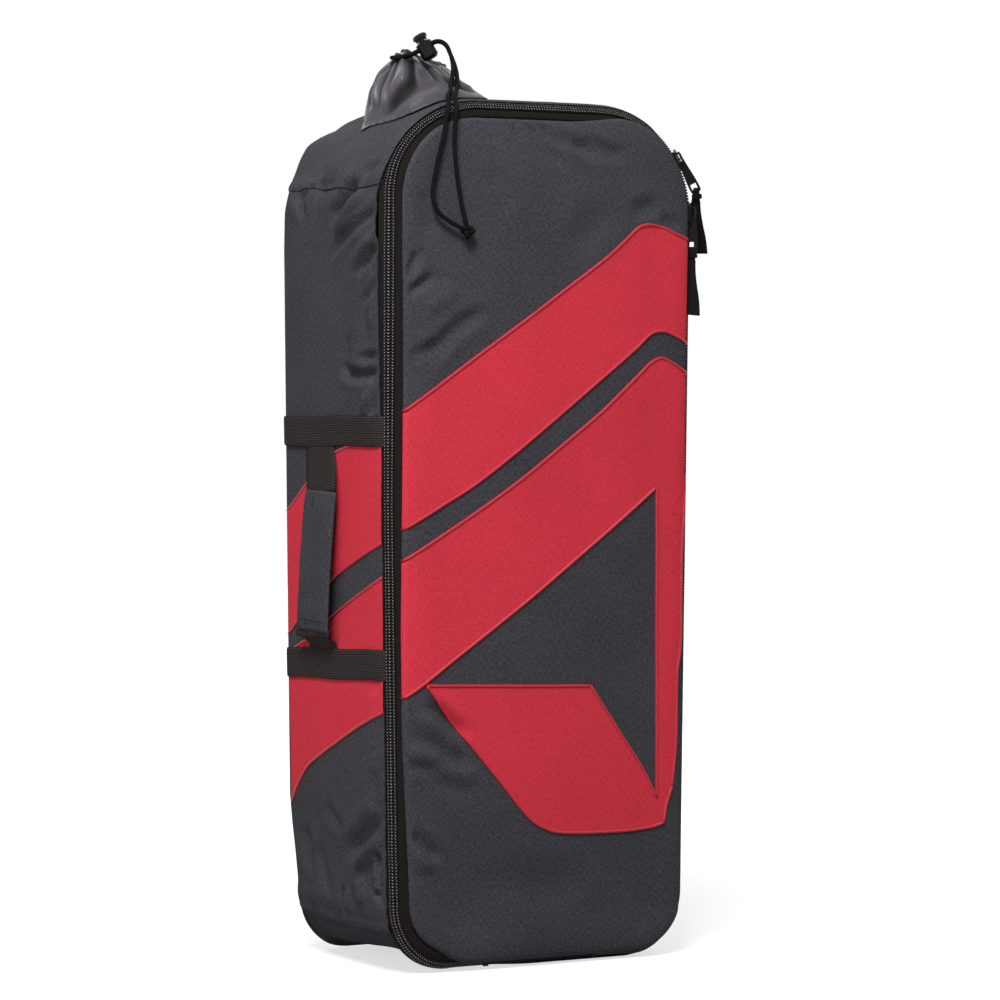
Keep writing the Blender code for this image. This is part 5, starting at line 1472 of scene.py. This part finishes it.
def gathered_sleeve():
    """Straight nylon sleeve drawn in at its hem by a cloth simulation: points and painted shade and
    highlight, ring by ring.
    """
    seam = collar_seam()
    rise = np.linspace(0, COLLAR_CUT, COLLAR_ROWS)
    straight = seam[None, :, :] + np.array(UPRIGHT) * rise[:, None, None]
    faces = grid_faces(COLLAR_ROWS, COLLAR_COLUMNS, around=True)
    mesh = bpy.data.meshes.new("sleeve_sim")
    mesh.from_pydata(straight.reshape(-1, 3).tolist(), [], faces)
    sleeve = placed("sleeve_sim", mesh)
    drawn = straight.copy()
    drawn[-1] = collar_mouth()
    sleeve.shape_key_add(name="straight")
    key = sleeve.shape_key_add(name="drawn")
    key.data.foreach_set("co", drawn.ravel())
    for frame_number, value in ((1, 0.0), (GATHER_FRAMES, 1.0)):
        key.value = value
        key.keyframe_insert("value", frame=frame_number)
    pins = sleeve.vertex_groups.new(name="sewn")
    last = (COLLAR_ROWS - 1) * COLLAR_COLUMNS
    pins.add([*range(COLLAR_COLUMNS), *range(last, last + COLLAR_COLUMNS)], 1.0, "REPLACE")
    cloth = sleeve.modifiers.new("cloth", "CLOTH")
    cloth.point_cache.frame_end = SETTLE_FRAMES
    for setting, value in NYLON.items():
        setattr(cloth.settings, setting, value)
    cloth.settings.effector_weights.gravity = NYLON_GRAVITY
    cloth.collision_settings.use_collision = False
    for frame_number in range(1, SETTLE_FRAMES + 1):
        bpy.context.scene.frame_set(frame_number)
    settled = sleeve.evaluated_get(bpy.context.evaluated_depsgraph_get()).data
    points = np.array([tuple(v.co) for v in settled.vertices])
    bpy.data.objects.remove(sleeve)
    bpy.context.scene.frame_set(1)
    points, shade = creased_sleeve(points.reshape(COLLAR_ROWS, COLLAR_COLUMNS, 3), rise)
    points[:, 2] = np.maximum(points[:, 2], gusset_z(points[:, 0], points[:, 1]) + SEAM_STAND)
    return points, shade


def paint_fold_light(obj, values):
    """Keep the satin's painted shade and highlight on a mesh's points."""
    obj.data.attributes.new("painted_fold_light", "FLOAT", "POINT").data.foreach_set("value", values)


def collar():
    """Nylon sleeve sewn to the top of the bag, and the hem that the cords run in."""
    points, shade = gathered_sleeve()
    a = collar_turn()
    ragged = RAGGED[0] * np.cos(29 * a + 2 * np.sin(5 * a)) + RAGGED[1] * np.cos(47 * a)
    x, y = collar_ring(FLANGE + ragged)
    flange = np.stack([x, y, gusset_z(x, y) + NYLON_THICKNESS + 0.25 * ragged], axis=1)
    level = np.concatenate([[-SEAM_ALLOWANCE], np.linspace(0, COLLAR_CUT, COLLAR_ROWS)])
    uvs = [(COLLAR_AROUND * turn, rise) for rise in level for turn in a]
    sleeve = piece("collar_cloth", np.vstack([flange, points]),
                   grid_faces(COLLAR_ROWS + 1, COLLAR_COLUMNS, around=True), uvs)
    # Painted shade and highlight of the folds; none on the flange
    paint_fold_light(sleeve, np.concatenate([np.ones(COLLAR_COLUMNS), shade]))
    sleeve.modifiers.new("smooth", "SUBSURF").render_levels = 1
    sleeve.modifiers.new("thickness", "SOLIDIFY").thickness = NYLON_THICKNESS
    dress(sleeve, "case", "collar_nylon", "collar_sleeve")
    mouth = collar_mouth()
    lumps = HEM_RADIUS + HEM_LUMP * np.cos(33 * a)
    hem = tube("collar_hem_roll", np.vstack([mouth, mouth[:2]]), np.concatenate([lumps, lumps[:2]]), 10)
    paint_fold_light(hem, np.full(len(hem.data.vertices), HEM_PAINTED_SHADE))
    dress(hem, "case", "collar_nylon", "collar_hem")


collar()

# Runs of the two cords out of the hem, through the lock and down the cover to the knot
CORD_RADIUS = 0.0018
CORD_PITCH = 0.0022
KNOT_CENTRE = np.array((-0.081, -0.1036, 0.6035))
KNOT_SIZE, KNOT_DEPTH, KNOT_SWELL = 0.00150, -1.2, 1.15
CORD_FRONT = [
    (-0.0807, 0.0053, 0.7588), (-0.0879, 0.0044, 0.7587), (-0.0946, 0.0006, 0.7576),
    (-0.0988, -0.0074, 0.7561), (-0.0976, -0.0163, 0.7555), (-0.0917, -0.0229, 0.7569),
    (-0.0862, -0.0262, 0.7598), (-0.0808, -0.0294, 0.7635), (-0.0748, -0.0329, 0.7675),
    (-0.0709, -0.0352, 0.7687), (-0.0671, -0.0375, 0.7675), (-0.0642, -0.0391, 0.7642),
    (-0.0629, -0.0406, 0.7597), (-0.0625, -0.0434, 0.7545), (-0.0638, -0.0480, 0.7470),
    (-0.0668, -0.0530, 0.7385), (-0.0716, -0.0585, 0.7303), (-0.0755, -0.0648, 0.7232),
    (-0.0810, -0.0722, 0.7200), (-0.0865, -0.0800, 0.7170), (-0.0915, -0.0888, 0.7112),
    (-0.0958, -0.0954, 0.7018), (-0.0985, -0.0972, 0.6915), (-0.1005, -0.0976, 0.6815),
    (-0.1040, -0.0980, 0.6690), (-0.1075, -0.0986, 0.6560), (-0.1108, -0.0994, 0.6420),
    (-0.1118, -0.1002, 0.6295), (-0.1075, -0.1011, 0.6185), (-0.0975, -0.1021, 0.6112),
    (-0.0860, -0.1032, 0.6057)]
CORD_REAR = [
    (-0.0782, 0.0021, 0.7590), (-0.0845, 0.0006, 0.7593), (-0.0905, -0.0016, 0.7584),
    (-0.0944, -0.0071, 0.7567), (-0.0940, -0.0140, 0.7558), (-0.0896, -0.0192, 0.7569),
    (-0.0841, -0.0226, 0.7598), (-0.0787, -0.0258, 0.7635), (-0.0727, -0.0293, 0.7675),
    (-0.0688, -0.0316, 0.7687), (-0.0650, -0.0339, 0.7675), (-0.0621, -0.0355, 0.7642),
    (-0.0607, -0.0370, 0.7597), (-0.0599, -0.0398, 0.7545), (-0.0601, -0.0452, 0.7470),
    (-0.0620, -0.0518, 0.7385), (-0.0652, -0.0580, 0.7302), (-0.0698, -0.0645, 0.7242),
    (-0.0748, -0.0715, 0.7214), (-0.0800, -0.0795, 0.7190), (-0.0846, -0.0885, 0.7132),
    (-0.0878, -0.0955, 0.7034), (-0.0900, -0.0974, 0.6920), (-0.0908, -0.0981, 0.6750),
    (-0.0900, -0.0987, 0.6610), (-0.0888, -0.0995, 0.6480), (-0.0873, -0.1005, 0.6360),
    (-0.0850, -0.1019, 0.6220), (-0.0822, -0.1033, 0.6088)]


def knot():
    """Overhand knot that ties the two cords together."""
    t = np.linspace(0, 2 * math.pi, 90)
    path = KNOT_SIZE * np.stack([np.sin(t) + 2 * np.sin(2 * t), KNOT_DEPTH * np.sin(3 * t),
                                 np.cos(t) - 2 * np.cos(2 * t)], axis=1)
    made = tube("knot", KNOT_CENTRE + path, CORD_RADIUS * KNOT_SWELL, 10)
    dress(made, "case", "black_cord", "cord_knot")
    return made


KNOT = knot()


def draw_cord(name, points, node):
    """One limp cord from the hem through the lock down to the knot."""
    path = curve_through(points, CORD_PITCH)
    made = dress(tube(name, path, CORD_RADIUS, 12), "case", "black_cord", node)


draw_cord("cord_front", CORD_FRONT, "draw_cord_front")
draw_cord("cord_rear", CORD_REAR, "draw_cord_rear")

# Back: yoke, shoulder pads, webbing and anchors

STRAP_WIDTH = 0.058
STRAP_THICKNESS = 0.009
STRAP_TOP = np.array((TOP_WIDTH / 2 - 0.0955, BACK_Y + 0.0075, HEIGHT - 0.120))
STRAP_LOW = np.array((BASE_WIDTH / 2 - 0.055, BACK_Y + 0.0160, 0.285))
STRAP_BULGE = 0.012
BUCKLE_HEIGHT = 0.028
ANCHOR = np.array((BASE_WIDTH / 2 - 0.035, BACK_Y, 0.062))
YOKE = 0.004


def strap_path(side):
    """Middle line of a shoulder pad from the yoke down to its buckle."""
    t = np.linspace(0, 1, 64)
    x = STRAP_TOP[0] + (STRAP_LOW[0] - STRAP_TOP[0]) * t ** 1.5
    y = STRAP_TOP[1] + (STRAP_LOW[1] - STRAP_TOP[1]) * t + STRAP_BULGE * np.sin(math.pi * t)
    z = STRAP_TOP[2] + (STRAP_LOW[2] - STRAP_TOP[2]) * t
    return np.stack([side * x, y, z], axis=1)


PAD_CHANNEL = 0.0215
YOKE_FRONT, YOKE_REAR = BACK_Y + 0.0004, BACK_Y + 0.0042
YOKE_OUTLINE = ((-0.085, 0.601), (0.085, 0.601), (0.073, 0.645), (0.055, 0.656), (-0.055, 0.656),
                (-0.073, 0.645))
TAB_HALF, TAB_LOW, TAB_HIGH, TAB_CUT = 0.0155, 0.044, 0.076, 0.004
PATCH_PITCH, PATCH_MARGIN = 0.003, 0.0018
# Fall of a patch at its edge and along its stitches, and where the stitches run
PATCH_EDGE, PATCH_SEAM = (0.0022, 0.0022), (0.0008, 0.0050, 0.0012)
PATCH_ROW, PATCH_ROW_SINK = 0.0055, 0.0005
BINDING_RADIUS = 0.0017
WEBBING_PITCH = 0.004
CHANNEL_STAND = 0.325 * STRAP_THICKNESS
# Straight lengths of the lower webbing under its buckle and over its tab
WEBBING_DROP, WEBBING_RISE, TAB_REACH = 0.016, np.array((0.0, 0.0, 0.015)), 0.014
PIPING_PLACE, PIPING_RADIUS = (-0.0012, 0.0010, 0.0015), 0.0015


def sewn_patch(name, outline, finish, node):
    """Patch on the back, crowned between its stitched edges."""
    outline = np.array(outline)
    closed = resample(np.vstack([outline, outline[:1]]), PATCH_PITCH)[:-1]
    loose = loose_points(closed, PATCH_PITCH, PATCH_MARGIN)
    points, faces = triangulated(closed, [], loose, PATCH_PITCH)
    edge = distance_to(points, closed)
    depth, at, width = PATCH_SEAM
    rear = YOKE_REAR - PATCH_EDGE[0] * bell(edge, PATCH_EDGE[1]) - depth * bell(edge - at, width)
    rear += ripple(points[:, 0], points[:, 1], 61, 0.040, 0.0002)
    x, z = points.T
    made = piece(name, np.stack([x, rear, z], axis=1), faces, points,
                 np.stack([x, np.full_like(x, YOKE_FRONT), z], axis=1))
    dress(made, "case", finish, node, inside=finish)
    inner = outline - PATCH_ROW * unit(outline - outline.mean(axis=0))
    row = np.vstack([inner, inner[:1]])
    stitches(name + "_stitches", [np.insert(row, 1, YOKE_REAR - PATCH_ROW_SINK, axis=1)], "case", finish)


def shoulder_strap(name, side):
    """Padded strap with bound edges, its webbing and the tab at the base corner."""
    body = f"{name}_pad"
    path = strap_path(side)
    channels = (-PAD_CHANNEL, PAD_CHANNEL)
    pad = pillow(f"pad_{name}", path, LEVEL, STRAP_WIDTH, STRAP_THICKNESS, 44, channels, 53)
    dress(pad, body, "slate_fabric", f"shoulder_pad_{name}")
    across, normal = strip_axes(path, LEVEL)
    halves = (-STRAP_WIDTH / 2, STRAP_WIDTH / 2)
    edges = [tube("binding", path + across * w, BINDING_RADIUS, 8) for w in halves]
    dress(joined(f"pad_{name}_binding", edges), body, "black_webbing")
    face = path + normal * np.sign(normal[:, 1:2]) * CHANNEL_STAND
    rows = [(face + across * w)[3:-3] for w in channels]
    stitches(f"pad_{name}_stitches", rows, body, "slate_fabric")
    along = unit(path[-1] - path[-2])
    top = path[-1] + along * (BUCKLE_HEIGHT * 0.75)
    foot = np.array((side * ANCHOR[0], BACK_Y + YOKE / 2, ANCHOR[2] + TAB_REACH))
    bends = [top, top + along * WEBBING_DROP, (top + foot) / 2, foot + WEBBING_RISE, foot]
    webbing = ribbon(f"webbing_{name}", curve_through(bends, WEBBING_PITCH), LEVEL, BAND_WIDTH, WEBBING)
    dress_bending(webbing, "black_webbing", ("case", foot), (body, top), f"strap_webbing_{name}")
    left, right = side * ANCHOR[0] - TAB_HALF, side * ANCHOR[0] + TAB_HALF
    tab = ((left, TAB_LOW), (right, TAB_LOW), (right, TAB_HIGH - TAB_CUT), (right - TAB_CUT, TAB_HIGH),
           (left + TAB_CUT, TAB_HIGH), (left, TAB_HIGH - TAB_CUT))
    sewn_patch(f"tab_{name}", tab, "black_webbing", f"strap_anchor_{name}")


sewn_patch("yoke_patch", YOKE_OUTLINE, "slate_fabric", "strap_yoke")
shoulder_strap("left", -1)
shoulder_strap("right", 1)


def back_piping():
    """Corded seam between the back and the shell."""
    run = np.linspace(0, RIM_LENGTH, 420)
    out, behind, lowest = PIPING_PLACE
    x, z = rim(run, out - back_pull(run))
    path = np.stack([x, np.full_like(x, RIM_BACK + behind), np.maximum(z, lowest)], axis=1)
    dress(tube("back_piping", path, PIPING_RADIUS, 8), "case", "slate_fabric")


back_piping()

# Inside: linings, foam and the straps that hold what is packed

LINING_PITCH = 0.0075
LINING_INSET = 0.0063


def back_inset(run):
    """How far inside the outline the back's lining and foam end."""
    return LINING_INSET + back_pull(run)


# Inset, front y and thickness of each sheet
COVER_LINING = (0.0085, -0.0827, 0.0012)
BACK_LINING = (back_inset, 0.0792, 0.0012)
BACK_FOAM = (back_inset, 0.0809, 0.0066)
# Inset and rear y of the cover's foam, its depth behind the cloth, its rolled edge and its least thickness
COVER_FOAM = (0.0215, -0.0832)
FOAM_BEHIND, FOAM_EDGE, FOAM_LEAST = 0.0032, 0.004, 0.002
# Half length, y at the ends and slack of the inner straps
INNER_STRAP = (0.1155, 0.0782, 0.0028)


def flat_lining(name, place, seed, body, finish, node):
    """Loose lining or sheet of foam over the whole panel."""
    inset, y, thickness = place
    points, faces, edge = panel_mesh(inset, LINING_PITCH)
    uneven = ripple(points[:, 0], points[:, 1], seed, 0.11, 0.0003) * step(edge, 0.0, 0.02)
    dress(panel_piece(name, points, faces, y + uneven, thickness), body, finish, node, inside=finish)


def cover_padding():
    """Foam that fills the cover's crown."""
    points, faces, edge = panel_mesh(COVER_FOAM[0], LINING_PITCH)
    front = cover_y(points[:, 0], points[:, 1], edge + COVER_FOAM[0]) + CLOTH + FOAM_BEHIND
    front = np.minimum(front + FOAM_EDGE * bell(edge, FOAM_EDGE), COVER_FOAM[1] - FOAM_LEAST)
    x, z = points.T
    foam = piece("cover_foam_sheet", np.stack([x, front, z], axis=1), faces, points,
                 np.stack([x, np.full_like(x, COVER_FOAM[1]), z], axis=1))
    dress(foam, "cover", "white_foam", "cover_foam", inside="white_foam")


def inner_strap(name, node):
    """Webbing across the inside of the back, slack between its ends."""
    low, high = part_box(node)
    reach, y, slack = INNER_STRAP
    x = np.linspace(-reach, reach, 60)
    path = np.stack([x, y - slack * (1 - (x / reach) ** 2), np.full_like(x, (low[2] + high[2]) / 2)], axis=1)
    made = ribbon(name, path, UPRIGHT, BAND_WIDTH, WEBBING)
    dress(made, "case", "black_webbing", node, inside="black_webbing")


flat_lining("cover_lining_cloth", COVER_LINING, 71, "cover", "lining_cloth", "cover_lining")
flat_lining("back_lining_cloth", BACK_LINING, 72, "case", "lining_cloth", "back_lining")
flat_lining("back_foam_sheet", BACK_FOAM, 73, "case", "white_foam", "back_foam")
cover_padding()
inner_strap("inner_webbing_upper", "inner_strap_upper")
inner_strap("inner_webbing_lower", "inner_strap_lower")

# Scene: camera, light and floor

LENS = 111.27
SENSOR = 36.0
scene = bpy.context.scene
scene.view_settings.view_transform = "Standard"

camera = placed("camera", bpy.data.cameras.new("camera"))
back = Vector((-math.sin(AZIMUTH) * math.cos(ELEVATION), -math.cos(AZIMUTH) * math.cos(ELEVATION),
               math.sin(ELEVATION)))
camera.matrix_world = (Matrix.Translation(TARGET + back * DISTANCE)
                       @ back.to_track_quat("Z", "Y").to_matrix().to_4x4() @ Matrix.Rotation(ROLL, 4, "Z"))
camera.data.lens = LENS
camera.data.sensor_width = SENSOR
scene.camera = camera


def softbox(name, place, aim, size, power):
    """Large area lamp turned towards a point."""
    lamp = bpy.data.lights.new(name, "AREA")
    lamp.shape = "RECTANGLE"
    lamp.size, lamp.size_y = size
    lamp.energy = power
    obj = placed(name, lamp)
    obj.location = place
    obj.rotation_euler = (Vector(place) - Vector(aim)).to_track_quat("Z", "Y").to_euler()


softbox("key_light", (-1.20, -1.35, 2.38), (0.0, 0.0, 0.40), (0.9, 0.9), 100.0)
softbox("fill_light", (2.0, -1.8, 1.3), (0.0, 0.0, 0.40), (1.4, 1.8), 7.0)
softbox("side_light", (-2.6, -0.3, 1.2), (-0.1, 0.0, 0.45), (1.0, 1.4), 12.0)
softbox("rear_light", (1.0, 2.4, 1.3), (0.0, 0.0, 0.40), (1.6, 1.6), 22.0)


WORLD_LIGHT = 0.24
WHITE = (1.0, 1.0, 1.0, 1.0)
FLOOR_SIZE = 14.0
FLOOR_GREY = (0.36, 0.36, 0.36, 1.0)
FLOOR_NEAR, FLOOR_FAR, FLOOR_GLOW = 0.25, 1.6, 0.66


def looked_at(tree):
    """1 where the camera, a reflection or a ray through glass looks, 0 for light that falls on the bag."""
    path = add(tree, "LightPath")
    seen = math_node(tree, "MAXIMUM", path.outputs["Is Camera Ray"], path.outputs["Is Glossy Ray"])
    return math_node(tree, "MAXIMUM", seen, path.outputs["Is Transmission Ray"])


def studio_world():
    """White where the camera or a reflection looks, a soft grey light elsewhere."""
    world = bpy.data.worlds.new("studio")
    world.use_nodes = True
    scene.world = world
    tree = world.node_tree
    ground = tree.nodes["Background"]
    ground.inputs["Color"].default_value = WHITE
    tree.links.new(ranged(tree, looked_at(tree), result=(WORLD_LIGHT, 1.0)), ground.inputs["Strength"])


def studio_floor():
    """Plain pale floor that keeps the bag's shadow."""
    bm = bmesh.new()
    bmesh.ops.create_grid(bm, x_segments=1, y_segments=1, size=FLOOR_SIZE)
    mesh = bpy.data.meshes.new("floor")
    bm.to_mesh(mesh)
    bm.free()
    made, tree, shader = graph("floor_paper")
    shader.inputs["Base Color"].default_value = FLOOR_GREY
    shader.inputs["Roughness"].default_value = 0.9
    shader.inputs["Emission Color"].default_value = WHITE
    away = add(tree, "VectorMath", operation="LENGTH")
    tree.links.new(add(tree, "TexCoord").outputs["Object"], away.inputs[0])
    glow = ranged(tree, away.outputs["Value"], (FLOOR_NEAR, FLOOR_FAR), (FLOOR_GLOW, 1.0),
                  interpolation_type="SMOOTHSTEP")
    tree.links.new(math_node(tree, "MULTIPLY", looked_at(tree), glow), shader.inputs["Emission Strength"])
    mesh.materials.append(made)
    placed("floor", mesh)


studio_world()
studio_floor()

# Carried-over solids take the finish of their slot

SOLID_ROUND = 0.0004
SLOTS = {entry["node"]: entry["material_slot"] for entry in frame["record"]["subparts"]}


def finish_solids():
    """Procedural materials on every solid that still shows."""
    for name, obj in frame["nodes"].items():
        if obj.hide_render:
            continue
        obj.data.materials.clear()
        obj.data.materials.append(FINISH[SLOTS[name]])
        round_edges(obj, SOLID_ROUND)


finish_solids()
